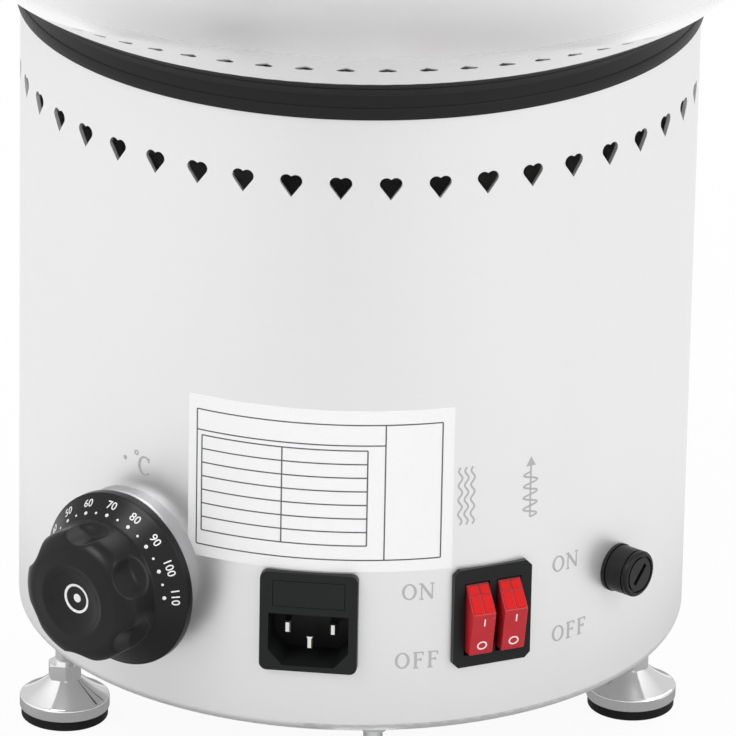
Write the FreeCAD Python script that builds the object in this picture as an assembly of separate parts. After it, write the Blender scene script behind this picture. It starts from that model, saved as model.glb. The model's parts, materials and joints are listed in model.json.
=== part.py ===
import FreeCAD
import Part
import math
import os

Vec = FreeCAD.Vector

# Chocolate fountain: a round steel base on four levelling feet, a heated bowl on a rubber rim ring,
# and a lift-off tower of a tube, three canopies and a crown, fed by an auger on a geared motor.
# Millimetres, +Z up, origin on the floor at the centre line. The control panel faces -Y.
# Parts of the panel are drawn in a panel frame: X to the right, Y up, Z out of the base,
# with the origin on the outer face of the shell.

# Sheet and fits
sheet = 1.2                   # steel sheet of the shell, bowl, tube and canopies
running_fit = 0.05            # radial play of a shaft or pin in its hole
slip_fit = 0.3                # play between parts that slide or lift off
panel_fit = 0.2               # play between a panel part and its cut-out
saddle_fit = 0.02             # play between a panel flange and the curved shell

# Base shell
foot_height = 40.5            # floor to the underside of the base
base_radius = 105.0
base_height = 201.5           # underside of the base to the underside of the rim ring
base_corner = 3.0             # outer radius of the bottom edge
lip_width = 27.0              # the shell is turned in at the bottom by this much
shell_tuck = 4.0              # how far the shell reaches up into the rim ring

# Heart vents
heart_count = 44
heart_width = 6.8
heart_height = 7.2
heart_drop = 22.4             # rim ring down to the centre of a heart
heart_lobe_share = 0.29       # lobe radius as a share of the heart's width

# Rim ring
ring_height = 7.3             # visible height under the bowl
ring_proud = 0.8              # outside the shell
ring_inner_leg = 1.5

# Bowl
bowl_slope = 33.0             # degrees, slope of the bowl where it rests on the ring
bowl_flat_radius = 75.0
bowl_wall_radius = 150.0
bowl_wall_slope = 58.0        # degrees, slope of the straight upper wall
bowl_wall_length = 24.0
bowl_curl_radius = 2.4
bowl_curl_sweep = 235.0       # degrees of roll at the rim
bowl_squeeze = 0.15           # how far the bowl presses into the rubber ring

# Bottom plate and its screws
plate_edge_gap = 0.5
plate_screw_count = 6
plate_screw_inset = 22.0      # screws to the side of the base
plate_screw_radius = 1.5
plate_screw_head_radius = 2.8
plate_screw_head_height = 1.8
plate_screw_first = 27.0      # degrees, azimuth of the first screw
vent_count = 16
vent_inner_radius = 30.0
vent_length = 32.0
vent_width = 4.0

# Levelling feet
foot_count = 4
foot_inset = 14.5             # feet to the side of the base
foot_first_azimuth = 11.7     # degrees
pad_radius = 13.8
pad_height = 3.2
cup_radius = 14.3
cup_lip_top = 7.5
cup_neck_radius = 5.2
cup_top = 13.4
foot_hex_across = 10.0
foot_hex_height = 5.0
stud_radius = 3.0
stud_reach = 20.0             # stud above the underside of the base
lock_nut_height = 4.0
foot_socket_radius = 7.0
foot_socket_height = 8.0

# Panel places
knob_azimuth = -31.0
knob_z = 85.2
inlet_azimuth = 0.0
switch_azimuth = 31.0
panel_row_z = 77.7            # centre height of the inlet and the switch frame
fuse_azimuth = 58.0
fuse_z = 80.6

# Dial knob and thermostat
boss_radius = 20.0
boss_inner_radius = 17.0
boss_height = 8.0
knob_gap = 0.5                # boss to the back of the knob
skirt_radius = 27.7
skirt_edge = 2.9
skirt_cone_height = 6.6
grip_radius = 20.9
knob_depth = 24.4             # back of the skirt to the front of the grip
grip_shoulder = 5.6           # height of the rounded front edge
dish_radius = 10.8
dish_depth = 2.6
knob_wall = 2.7
flute_count = 6
flute_depth = 2.9
flute_cutter_radius = 9.5
flute_first = 31.0            # degrees on the dial, anticlockwise from the right
spindle_radius = 3.0
spindle_flat = 0.6
spindle_tail = 16.0           # spindle inside the base
knob_hub_radius = 7.0
neck_radius = 5.0
neck_height = 4.0
thermostat_plate_width = 32.0
thermostat_plate_height = 24.0
thermostat_plate_thick = 1.5
thermostat_can_radius = 11.5
thermostat_can_depth = 18.0
thermostat_screw_spacing = 22.0
thermostat_screw_radius = 2.0
thermostat_head_radius = 3.5
thermostat_head_height = 2.4
thermostat_screw_bite = 2.0   # screws behind the plate

# Power inlet
inlet_flange_width = 30.1
inlet_flange_height = 32.8
inlet_flange_proud = 1.6
inlet_flange_corner = 2.4
inlet_body_width = 27.2
inlet_body_height = 30.4
inlet_body_depth = 27.0
socket_width = 24.7
socket_height = 17.2
socket_depth = 15.0
socket_bottom_margin = 1.8
socket_chamfer_x = 4.4
socket_chamfer_y = 5.1
pin_width = 2.0
pin_height = 4.0
pin_taper = 0.45
pin_spacing = 14.0
pin_row_offset = 2.2
pin_tip_depth = 4.5
earth_tip_depth = 3.3
tab_width = 4.8
tab_thick = 0.8
tab_length = 8.0
drawer_width = 22.0
drawer_height = 8.4
drawer_depth = 23.4
drawer_wall = 1.4
drawer_play = 0.15            # drawer to its bay, on each side
drawer_top_margin = 2.9
drawer_travel = 18.0
spare_fuse_radius = 2.6
spare_fuse_length = 18.6

# Twin rocker switch
switch_flange_width = 25.9
switch_flange_height = 32.6
switch_flange_proud = 1.2
switch_corner = 1.8
switch_body_width = 24.6
switch_body_height = 29.4
switch_body_depth = 23.0
rocker_pitch = 10.6
rocker_width = 7.7
well_side_gap = 0.3
well_height = 24.0
well_drop = 0.4
well_depth = 10.5
pivot_depth = 2.0             # behind the front of the frame
pivot_radius = 1.2
pivot_stub = 0.8
rocker_reach = 11.3           # pivot to either end of the rocker
rocker_end_front = 3.6        # ends of the front face in front of the pivot
rocker_ridge_front = 8.6
rocker_ridge_up = 2.2
rocker_rear_depth = 5.0
rocker_rear_half = 6.5
rocker_tilt = 9.0             # degrees either side of the middle

# Panel fuse holder
fuse_hole_radius = 6.15
holder_tube_radius = 6.0
holder_flange_radius = 7.6
holder_flange_proud = 1.0
holder_bore_radius = 4.8
holder_depth = 26.0
holder_nut_across = 17.0
holder_nut_height = 4.5
cap_radius = 7.3
cap_height = 8.0
cap_stem_radius = 4.5
cap_stem_length = 8.0
cap_slot_width = 1.6
cap_slot_depth = 1.2
cap_slot_angle = 45.0
cap_slot_length = 7.4
fuse_radius = 2.6
fuse_length = 20.0
fuse_ferrule = 5.0
fuse_grip_depth = 4.2         # fuse inside the stem of its cap

# Heater
heater_inner_radius = 36.0
heater_outer_radius = 60.0
heater_thick = 4.0
clamp_margin = 2.0
clamp_thick = 1.0
stud_count = 4
heater_stud_circle = 48.0
heater_stud_radius = 2.0
heater_stud_spare = 3.0
heater_nut_across = 7.0
heater_nut_height = 3.2
bulb_radius = 2.5
bulb_length = 40.0
bulb_distance = 67.0
bulb_azimuth = -62.0
bulb_clip_width = 8.0
bulb_clip_thick = 0.8
capillary_radius = 0.9
capillary_rise = 46.0          # straight parts above the thermostat and below the bulb
capillary_lean = 10.0
capillary_tail = 16.0          # straight part behind the thermostat

# Shaft seal in the bowl
bush_radius = 9.0
bush_flange_radius = 14.0
bush_flange_height = 3.0
bush_length = 14.0
bush_nut_across = 27.0
bush_nut_height = 6.0

# Geared motor
pillar_count = 4
pillar_circle = 27.0
pillar_radius = 4.0
pillar_length = 40.0
motor_plate_radius = 44.0
motor_plate_thick = 2.5
gearbox_radius = 35.0
gearbox_height = 28.0
gearbox_pilot_radius = 8.0
motor_radius = 27.0
motor_height = 55.0
motor_end_corner = 4.0
motor_slot_count = 8
motor_slot_width = 4.0
motor_slot_height = 14.0
motor_slot_depth = 1.2
motor_screw_circle = 30.0
motor_screw_radius = 2.0
motor_screw_head_radius = 3.5
motor_screw_head_height = 2.6
motor_screw_bite = 8.0

# Drive shaft and auger
shaft_radius = 4.0
shaft_root_depth = 12.0       # inside the gearbox
hex_across = 6.9
hex_length = 18.0
hex_play = 0.2                # each side
auger_foot_gap = 2.4          # seal flange to the foot of the auger
auger_boss_radius = 8.0
auger_boss_height = 24.0
auger_core_radius = 5.5
auger_flight_radius = 20.2
auger_flight_thick = 2.0
auger_pitch = 36.0
auger_flight_foot = 4.0       # foot of the auger to the start of the flight
auger_flight_top_gap = 6.0    # end of the flight to the top of the tube
auger_top_rise = 8.0          # core above the top of the tube

# Tower tube
tube_radius = 22.0
tube_top = 600.0
intake_count = 4
intake_width = 13.0
intake_height = 16.0
seat_ring_width = 2.6
seat_ring_height = 4.0
seat_gap_width = 15.0
collar_height = 7.0
collar_step = 1.8             # seat width on each collar
spigot_height = 3.0

# Canopies: edge radius and the height of the seat of each, from the bottom up
lower_tier_radius = 100.0
middle_tier_radius = 76.0
upper_tier_radius = 54.0
lower_tier_seat = 380.0
middle_tier_seat = 454.0
upper_tier_seat = 524.0
tier_edge_angle = 34.0        # degrees, slope of the dome at its edge
tier_hub_height = 24.0
tier_lip = 5.0
hub_wall = 1.6

# Crown
crown_sleeve = 20.0           # sleeve over the tube
crown_cup_radius = 37.0
crown_cup_height = 50.0       # above the top of the tube
crown_floor = 4.0

# Terminal block
block_length = 30.0
block_width = 16.0
block_height = 12.0
block_poles = 3
block_x = -42.0
block_y = 40.0

# Sizes that follow from the ones above
lip_inner_radius = base_radius - lip_width
plate_screw_circle = base_radius - plate_screw_inset
foot_circle = base_radius - foot_inset
tier_radii = (lower_tier_radius, middle_tier_radius, upper_tier_radius)
tier_seats = (lower_tier_seat, middle_tier_seat, upper_tier_seat)
base_z = foot_height
plate_z = base_z + sheet
plate_top_z = plate_z + sheet
ring_z = base_z + base_height
ring_top_z = ring_z + ring_height
bend_radius = (base_radius - bowl_flat_radius) / math.sin(math.radians(bowl_slope))
floor_z = ring_top_z - bowl_squeeze - bend_radius * (1 - math.cos(math.radians(bowl_slope)))
bowl_inside_z = floor_z + sheet
motor_plate_top_z = floor_z - pillar_length
gearbox_top_z = motor_plate_top_z - motor_plate_thick
gearbox_z = gearbox_top_z - gearbox_height
motor_z = gearbox_z - motor_height
bush_top_z = bowl_inside_z + bush_flange_height
auger_z = bush_top_z + auger_foot_gap
shaft_top_z = auger_z + hex_length
tube_inner_radius = tube_radius - sheet
knob_back = boss_height + knob_gap
holder_bottom = -(holder_depth - 3.0)


def line(start, end):
    """Edge between two (radius, height) points of a lathe section."""
    return Part.LineSegment(Vec(start[0], 0, start[1]), Vec(end[0], 0, end[1])).toShape()


def arc(start, middle, end):
    """Arc through three (radius, height) points of a lathe section."""
    points = [Vec(p[0], 0, p[1]) for p in (start, middle, end)]
    return Part.Arc(*points).toShape()


def lines(points):
    """Edges that join a list of (radius, height) points."""
    return [line(a, b) for a, b in zip(points[:-1], points[1:])]


def lathe(edges):
    """Solid of revolution about Z from the closed section made by the edges."""
    section = Part.Face(Part.Wire(edges))
    return section.revolve(Vec(0, 0, 0), Vec(0, 0, 1), 360)


def lathe_polygon(points):
    """Solid of revolution about Z from a closed list of (radius, height) points."""
    return lathe(lines(list(points) + [points[0]]))


def cylinder(radius, bottom, top, x=0.0, y=0.0):
    """Upright cylinder between two heights."""
    return Part.makeCylinder(radius, top - bottom, Vec(x, y, bottom))


def washer(inner, outer, bottom, top):
    """Flat ring between two radii and two heights."""
    return cylinder(outer, bottom, top).cut(cylinder(inner, bottom, top))


def centred_box(width, depth, bottom, top, x=0.0, y=0.0):
    """Box centred on (x, y) between two heights."""
    return Part.makeBox(width, depth, top - bottom, Vec(x - width / 2, y - depth / 2, bottom))


def hexagon(across, bottom, top, x=0.0, y=0.0):
    """Upright hexagonal prism with the given width across its flats."""
    corner = across / math.sqrt(3)
    points = [Vec(x + corner * math.cos(math.radians(60 * i)), y + corner * math.sin(math.radians(60 * i)), bottom)
              for i in range(7)]
    return Part.Face(Part.makePolygon(points)).extrude(Vec(0, 0, top - bottom))


def rounded_plate(width, height, corner, bottom, top):
    """Plate with four rounded corners, drawn in X and Y."""
    plate = centred_box(width, height, bottom, top)
    edges = [e for e in plate.Edges if abs(e.Vertexes[0].Z - e.Vertexes[1].Z) > 1e-6]
    return plate.makeFillet(corner, edges)


def chamfered_plate(width, height, corner, bottom, top):
    """Plate with four cut corners, drawn in X and Y."""
    plate = centred_box(width, height, bottom, top)
    edges = [e for e in plate.Edges if abs(e.Vertexes[0].Z - e.Vertexes[1].Z) > 1e-6]
    return plate.makeChamfer(corner, edges)


def around(shape, azimuth):
    """Copy of a shape turned about the fountain's centre line."""
    turned = shape.copy()
    turned.rotate(Vec(0, 0, 0), Vec(0, 0, 1), azimuth)
    return turned


def ring_of(shape, count, first=0.0):
    """Compound of equally spaced copies about the centre line."""
    return Part.makeCompound([around(shape, first + 360.0 * i / count) for i in range(count)])


def front(radius):
    """Point on the -Y side at the given distance from the centre line."""
    return 0.0, -radius


def on_panel(shape, azimuth, height):
    """Move a shape from the panel frame to its place on the shell."""
    placed = shape.copy()
    placed.rotate(Vec(0, 0, 0), Vec(1, 0, 0), 90)
    placed.translate(Vec(0, -base_radius, height))
    placed.rotate(Vec(0, 0, 0), Vec(0, 0, 1), azimuth)
    return placed


def shell_in_panel_frame(radius):
    """The shell's cylinder of the given radius, seen from the panel frame."""
    return Part.makeCylinder(radius, 2 * base_height, Vec(0, -base_height, -base_radius), Vec(0, 1, 0))


def saddle(shape):
    """Cut the back of a panel flange so that it sits on the curved shell."""
    return shape.cut(shell_in_panel_frame(base_radius + saddle_fit))


def polar(radius, angle):
    """(radius, height) offset of a point on a circle in a lathe section, from straight down."""
    return radius * math.sin(math.radians(angle)), -radius * math.cos(math.radians(angle))


def shift(point, offset, scale=1.0):
    """Point moved by a scaled offset."""
    return point[0] + scale * offset[0], point[1] + scale * offset[1]


def heart_cutter():
    """Heart-shaped prism through the front of the shell, centred at its own height."""
    lobe = heart_lobe_share * heart_width
    lobe_x = heart_width / 2 - lobe
    lobe_z = heart_height / 2 - lobe
    notch_z = lobe_z + math.sqrt(lobe ** 2 - lobe_x ** 2)
    tip = (0.0, -heart_height / 2)
    to_tip = math.atan2(tip[1] - lobe_z, tip[0] - lobe_x)
    touch = to_tip + math.acos(lobe / math.hypot(lobe_x, lobe_z - tip[1]))
    touch_point = (lobe_x + lobe * math.cos(touch), lobe_z + lobe * math.sin(touch))
    crown_angle = math.radians(50)
    crown_point = (lobe_x + lobe * math.cos(crown_angle), lobe_z + lobe * math.sin(crown_angle))
    right = [line(tip, touch_point), arc(touch_point, crown_point, (0.0, notch_z))]
    mirror = [arc((0.0, notch_z), (-crown_point[0], crown_point[1]), (-touch_point[0], touch_point[1])),
              line((-touch_point[0], touch_point[1]), tip)]
    outline = Part.Face(Part.Wire(right + mirror))
    outline.translate(Vec(0, -base_radius - 2 * sheet, ring_z - heart_drop))
    return outline.extrude(Vec(0, 4 * sheet, 0))


def hearts():
    """Ring of heart cutters, placed evenly on both sides of the inlet."""
    step = 360.0 / heart_count
    return ring_of(heart_cutter(), heart_count, step / 2)


def panel_openings():
    """Cutters for everything that passes through the shell at the panel."""
    reach = 4 * sheet
    spindle = Part.makeCylinder(neck_radius + panel_fit, 2 * reach, Vec(0, 0, -reach))
    screws = [Part.makeCylinder(thermostat_screw_radius + panel_fit, 2 * reach,
                                Vec(side * thermostat_screw_spacing / 2, 0, -reach)) for side in (-1, 1)]
    inlet = centred_box(inlet_body_width + 2 * panel_fit, inlet_body_height + 2 * panel_fit, -reach, reach)
    switch = centred_box(switch_body_width + 2 * panel_fit, switch_body_height + 2 * panel_fit, -reach, reach)
    fuse = Part.makeCylinder(fuse_hole_radius, 2 * reach, Vec(0, 0, -reach))
    return [on_panel(tool, knob_azimuth, knob_z) for tool in [spindle] + screws] + [
        on_panel(inlet, inlet_azimuth, panel_row_z),
        on_panel(switch, switch_azimuth, panel_row_z),
        on_panel(fuse, fuse_azimuth, fuse_z)]


def base_shell():
    """Round steel shell, turned in at the bottom, with heart vents and panel cut-outs."""
    outer = base_radius
    inner = base_radius - sheet
    centre = (base_radius - base_corner, base_z + base_corner)
    top = ring_z + shell_tuck
    outer_arc = arc(shift(centre, polar(base_corner, 0)), shift(centre, polar(base_corner, 45)),
                    shift(centre, polar(base_corner, 90)))
    inner_corner = base_corner - sheet
    inner_arc = arc(shift(centre, polar(inner_corner, 90)), shift(centre, polar(inner_corner, 45)),
                    shift(centre, polar(inner_corner, 0)))
    edges = [line((lip_inner_radius, base_z), (centre[0], base_z)), outer_arc,
             line((outer, centre[1]), (outer, top)), line((outer, top), (inner, top)),
             line((inner, top), (inner, centre[1])), inner_arc,
             line((centre[0], plate_z), (lip_inner_radius, plate_z)),
             line((lip_inner_radius, plate_z), (lip_inner_radius, base_z))]
    foot_holes = ring_of(cylinder(stud_radius + slip_fit, base_z - 1, plate_z + 1, *front(foot_circle)),
                         foot_count, foot_first_azimuth)
    screw_holes = ring_of(cylinder(plate_screw_radius, base_z - 1, plate_z + 1, *front(plate_screw_circle)),
                          plate_screw_count, plate_screw_first)
    return lathe(edges).cut([hearts(), foot_holes, screw_holes] + panel_openings())


def rim_ring():
    """Black rubber channel that caps the shell and carries the bowl."""
    slope = math.tan(math.radians(bowl_slope))
    outer = base_radius + ring_proud
    inner = base_radius - sheet - ring_inner_leg
    slot_top = ring_z + shell_tuck
    outer_top = ring_top_z + ring_proud * slope
    inner_top = ring_top_z - (sheet + ring_inner_leg) * slope
    return lathe_polygon([
        (inner, ring_z), (base_radius - sheet, ring_z), (base_radius - sheet, slot_top),
        (base_radius, slot_top), (base_radius, ring_z), (outer, ring_z),
        (outer, outer_top), (inner, inner_top)])


def bowl():
    """Spun bowl: flat floor, two bends, a straight wall and a rolled rim."""
    contact = (base_radius, ring_top_z - bowl_squeeze)
    bend_centre = shift(contact, polar(bend_radius, bowl_slope), -1)
    wall_centre = shift(contact, polar(bowl_wall_radius, bowl_slope), -1)
    wall_direction = (math.cos(math.radians(bowl_wall_slope)), math.sin(math.radians(bowl_wall_slope)))
    wall_foot = shift(wall_centre, polar(bowl_wall_radius, bowl_wall_slope))
    wall_top = shift(wall_foot, wall_direction, bowl_wall_length)
    curl_centre = shift(wall_top, polar(bowl_curl_radius, bowl_wall_slope))

    def side(depth):
        """Edges of one face of the sheet, from the centre hole to the end of the roll."""
        bend = bend_radius - depth
        wall = bowl_wall_radius - depth
        roll = bowl_curl_radius + depth
        middle_slope = (bowl_slope + bowl_wall_slope) / 2
        wall_start = shift(wall_centre, polar(wall, bowl_wall_slope))
        wall_end = shift(wall_start, wall_direction, bowl_wall_length)
        roll_start = bowl_wall_slope + 180
        curl = [shift(curl_centre, polar(roll, roll_start - bowl_curl_sweep * share)) for share in (0.5, 1.0)]
        return [line((bush_radius, floor_z + depth), (bowl_flat_radius, floor_z + depth)),
                arc((bowl_flat_radius, floor_z + depth), shift(bend_centre, polar(bend, bowl_slope / 2)),
                    shift(bend_centre, polar(bend, bowl_slope))),
                arc(shift(wall_centre, polar(wall, bowl_slope)), shift(wall_centre, polar(wall, middle_slope)),
                    wall_start),
                line(wall_start, wall_end),
                arc(wall_end, curl[0], curl[1])], curl[1]

    under, under_end = side(0.0)
    inside, inside_end = side(sheet)
    ends = [line(under_end, inside_end), line((bush_radius, bowl_inside_z), (bush_radius, floor_z))]
    section = Part.Face(Part.Wire(Part.__sortEdges__(under + inside + ends)))
    spun = section.revolve(Vec(0, 0, 0), Vec(0, 0, 1), 360)
    stud_length = heater_thick + clamp_thick + heater_nut_height + heater_stud_spare
    studs = ring_of(cylinder(heater_stud_radius, floor_z - stud_length, floor_z, *front(heater_stud_circle)),
                    stud_count)
    return spun.fuse(studs.Solids)


def bottom_plate():
    """Vented cover over the opening of the shell's turned-in lip."""
    plate = cylinder(base_radius - base_corner - plate_edge_gap, plate_z, plate_top_z)
    slot = centred_box(vent_width, vent_length - vent_width, plate_z - 1, plate_top_z + 1,
                       *front(vent_inner_radius + vent_length / 2))
    for end in (vent_inner_radius + vent_width / 2, vent_inner_radius + vent_length - vent_width / 2):
        slot = slot.fuse(cylinder(vent_width / 2, plate_z - 1, plate_top_z + 1, *front(end)))
    vents = ring_of(slot.removeSplitter(), vent_count)
    foot_holes = ring_of(cylinder(stud_radius + slip_fit, plate_z - 1, plate_top_z + 1, *front(foot_circle)),
                         foot_count, foot_first_azimuth)
    screw_holes = ring_of(cylinder(plate_screw_radius, plate_z - 1, plate_top_z + 1, *front(plate_screw_circle)),
                          plate_screw_count, plate_screw_first)
    return plate.cut([vents, foot_holes, screw_holes])


def bottom_screws():
    """Pan-head screws that hold the bottom plate to the lip from below."""
    screw = cylinder(plate_screw_radius, base_z, plate_top_z + sheet, *front(plate_screw_circle))
    head = cylinder(plate_screw_head_radius, base_z - plate_screw_head_height, base_z, *front(plate_screw_circle))
    slot = centred_box(plate_screw_head_radius * 2, 0.8, base_z - plate_screw_head_height,
                       base_z - plate_screw_head_height / 2, *front(plate_screw_circle))
    return ring_of(screw.fuse(head).cut(slot), plate_screw_count, plate_screw_first)


def foot_sockets():
    """Weld nuts on the bottom plate that take the foot studs."""
    nut = cylinder(foot_socket_radius, plate_top_z, plate_top_z + foot_socket_height, *front(foot_circle))
    nut = nut.cut(cylinder(stud_radius + running_fit, plate_top_z, plate_top_z + foot_socket_height,
                           *front(foot_circle)))
    return ring_of(nut, foot_count, foot_first_azimuth)


def foot_lock_nuts():
    """Nuts that lock each foot stud against the underside of the base."""
    nut = hexagon(foot_hex_across, base_z - lock_nut_height, base_z, *front(foot_circle))
    nut = nut.cut(cylinder(stud_radius + running_fit, base_z - lock_nut_height, base_z, *front(foot_circle)))
    return ring_of(nut, foot_count, foot_first_azimuth)


def foot_stud(azimuth):
    """Chromed cup, cone, hexagon and stud of one levelling foot."""
    lip = 0.7
    cup = lathe([
        line((0, pad_height), (cup_radius - lip, pad_height)),
        arc((cup_radius - lip, pad_height), (cup_radius - 0.3 * lip, pad_height + 0.3 * lip),
            (cup_radius, pad_height + lip)),
        line((cup_radius, pad_height + lip), (cup_radius, cup_lip_top - lip)),
        arc((cup_radius, cup_lip_top - lip), (cup_radius - 0.3 * lip, cup_lip_top - 0.3 * lip),
            (cup_radius - lip, cup_lip_top)),
        arc((cup_radius - lip, cup_lip_top),
            ((cup_radius + cup_neck_radius) / 2 - lip, (cup_lip_top + cup_top) / 2 - 0.2 * lip),
            (cup_neck_radius, cup_top)),
        line((cup_neck_radius, cup_top), (0, cup_top)),
        line((0, cup_top), (0, pad_height))])
    across = hexagon(foot_hex_across, cup_top, cup_top + foot_hex_height)
    turned = lathe_polygon([
        (0, cup_top - 1), (foot_hex_across / 2 - 0.1, cup_top - 1),
        (foot_hex_across / math.sqrt(3), cup_top + 0.7),
        (foot_hex_across / math.sqrt(3), cup_top + foot_hex_height - 0.7),
        (foot_hex_across / 2 - 0.1, cup_top + foot_hex_height + 0.01), (0, cup_top + foot_hex_height + 0.01)])
    stud = cylinder(stud_radius, cup_top, base_z + stud_reach)
    foot = cup.fuse([across.common(turned), stud])
    foot.translate(Vec(0, -foot_circle, 0))
    return around(foot, azimuth)


def foot_pad(azimuth):
    """Rubber pad under one foot."""
    edge = 0.8
    pad = lathe([
        line((0, 0), (pad_radius - edge, 0)),
        arc((pad_radius - edge, 0), (pad_radius - 0.3 * edge, 0.3 * edge), (pad_radius, edge)),
        line((pad_radius, edge), (pad_radius, pad_height)),
        line((pad_radius, pad_height), (0, pad_height)),
        line((0, pad_height), (0, 0))])
    pad.translate(Vec(0, -foot_circle, 0))
    return around(pad, azimuth)


def dial_boss():
    """Satin ring between the shell and the back of the dial knob."""
    blank = cylinder(boss_radius, -base_corner - 2, boss_height).cut(
        cylinder(boss_inner_radius, -base_corner - 2, boss_height))
    return on_panel(saddle(blank), knob_azimuth, knob_z)


def knob_profile():
    """Section of the knob: dial skirt, grip with a rounded front and a shallow dish."""
    cone_top = knob_back + skirt_edge + skirt_cone_height
    face = knob_back + knob_depth
    shoulder = face - grip_shoulder
    shoulder_in = 0.35 * grip_shoulder
    pocket = knob_back + 1.2
    core = grip_radius - flute_depth - knob_wall
    hub_top = face - dish_depth - knob_wall
    return [
        line((spindle_radius, knob_back + 1), (spindle_radius, hub_top - 2)),
        line((spindle_radius, hub_top - 2), (0, hub_top - 2)),
        line((0, hub_top - 2), (0, face - dish_depth)),
        arc((0, face - dish_depth), (dish_radius * 0.62, face - dish_depth * 0.64), (dish_radius, face)),
        line((dish_radius, face), (grip_radius - grip_shoulder, face - 0.5)),
        arc((grip_radius - grip_shoulder, face - 0.5), (grip_radius - shoulder_in * 0.7, shoulder + 2.9),
            (grip_radius, shoulder)),
        line((grip_radius, shoulder), (grip_radius, cone_top)),
        line((grip_radius, cone_top), (skirt_radius, knob_back + skirt_edge)),
        line((skirt_radius, knob_back + skirt_edge), (skirt_radius, knob_back)),
        line((skirt_radius, knob_back), (skirt_radius - knob_wall, knob_back)),
        line((skirt_radius - knob_wall, knob_back), (skirt_radius - knob_wall, pocket)),
        line((skirt_radius - knob_wall, pocket), (core, cone_top - knob_wall)),
        line((core, cone_top - knob_wall), (core, hub_top)),
        line((core, hub_top), (knob_hub_radius, hub_top)),
        line((knob_hub_radius, hub_top), (knob_hub_radius, knob_back + 1)),
        line((knob_hub_radius, knob_back + 1), (spindle_radius, knob_back + 1))]


def knob():
    """Moulded dial knob with six finger scoops round its grip."""
    body = lathe(knob_profile())
    foot = knob_back + skirt_edge + skirt_cone_height + flute_cutter_radius * 0.55
    centre = grip_radius - flute_depth + flute_cutter_radius
    scoop = cylinder(flute_cutter_radius, foot, knob_back + knob_depth + 1, centre, 0)
    scoop = scoop.fuse(Part.makeSphere(flute_cutter_radius, Vec(centre, 0, foot)))
    keep_skirt = cylinder(skirt_radius + 20, knob_back - 1, knob_back + skirt_edge + skirt_cone_height)
    scoop = scoop.cut(keep_skirt)
    body = body.cut(ring_of(scoop, flute_count, flute_first))
    return on_panel(body, knob_azimuth, knob_z)


def thermostat_spindle():
    """Flatted spindle that turns with the knob."""
    top = knob_back + knob_depth - dish_depth - knob_wall - 2
    spindle = cylinder(spindle_radius, -spindle_tail, top)
    flat = centred_box(2 * spindle_radius, spindle_flat * 2, knob_back + 2, top, 0, spindle_radius)
    return on_panel(spindle.cut(flat), knob_azimuth, knob_z)


def thermostat_plate_front():
    """Depth at which a flat plate of the thermostat's width meets the inside of the shell."""
    inner = base_radius - sheet
    return math.sqrt(inner ** 2 - (thermostat_plate_width / 2) ** 2) - base_radius - saddle_fit


def thermostat_body():
    """Capillary thermostat: mounting plate, can, threaded neck and terminal blades."""
    face = thermostat_plate_front()
    back = face - thermostat_plate_thick
    plate = rounded_plate(thermostat_plate_width, thermostat_plate_height, 3.0, back, face)
    can = cylinder(thermostat_can_radius, back - thermostat_can_depth, back)
    neck = cylinder(neck_radius, back, neck_height)
    blades = [centred_box(tab_width, tab_thick, back - thermostat_can_depth - tab_length,
                          back - thermostat_can_depth, 0, side * 6) for side in (-1, 1)]
    body = plate.fuse([can, neck] + blades)
    holes = [cylinder(spindle_radius + running_fit, -spindle_tail - slip_fit, neck_height)]
    holes += [cylinder(thermostat_screw_radius, back - thermostat_screw_bite, face + 1,
                       side * thermostat_screw_spacing / 2, 0)
              for side in (-1, 1)]
    return on_panel(body.cut(holes), knob_azimuth, knob_z)


def thermostat_screws():
    """Two screws through the shell into the thermostat plate, hidden inside the boss."""
    seat_x = thermostat_screw_spacing / 2 - thermostat_head_radius
    seat = math.sqrt(base_radius ** 2 - seat_x ** 2) - base_radius + saddle_fit
    shank_end = thermostat_plate_front() - thermostat_plate_thick - thermostat_screw_bite
    screws = []
    for side in (-1, 1):
        x = side * thermostat_screw_spacing / 2
        head = cylinder(thermostat_head_radius, seat, seat + thermostat_head_height, x, 0)
        cross = centred_box(thermostat_head_radius, 0.9, seat + thermostat_head_height / 2,
                            seat + thermostat_head_height, x, 0)
        screws.append(head.fuse(cylinder(thermostat_screw_radius, shank_end, seat, x, 0)).cut(cross))
    return on_panel(Part.makeCompound(screws), knob_azimuth, knob_z)


def socket_centre_y():
    """Height of the socket's centre above the middle of the inlet flange."""
    return -inlet_flange_height / 2 + socket_bottom_margin + socket_height / 2


def drawer_centre_y():
    """Height of the fuse drawer's centre above the middle of the inlet flange."""
    return inlet_flange_height / 2 - drawer_top_margin - drawer_height / 2


def socket_recess():
    """Six-sided mouth of the power inlet, as a cutter."""
    half = socket_width / 2
    low = socket_centre_y() - socket_height / 2
    high = low + socket_height
    bottom = inlet_flange_proud - socket_depth
    outline = [(-half + socket_chamfer_x, low), (half - socket_chamfer_x, low), (half, low + socket_chamfer_y),
               (half, high), (-half, high), (-half, low + socket_chamfer_y)]
    points = [Vec(x, y, bottom) for x, y in outline + outline[:1]]
    return Part.Face(Part.makePolygon(points)).extrude(Vec(0, 0, socket_depth + 1))


def inlet_pin(x, y, tip):
    """One blade of the inlet with its rear tab."""
    blade = centred_box(pin_width, pin_height, -inlet_body_depth, tip, x, y)
    blade = blade.makeChamfer(pin_taper, [e for e in blade.Edges if abs(e.BoundBox.ZMin - tip) < 1e-3])
    tab = centred_box(tab_thick, tab_width, -inlet_body_depth - tab_length, -inlet_body_depth, x, y)
    return blade.fuse(tab)


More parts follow.
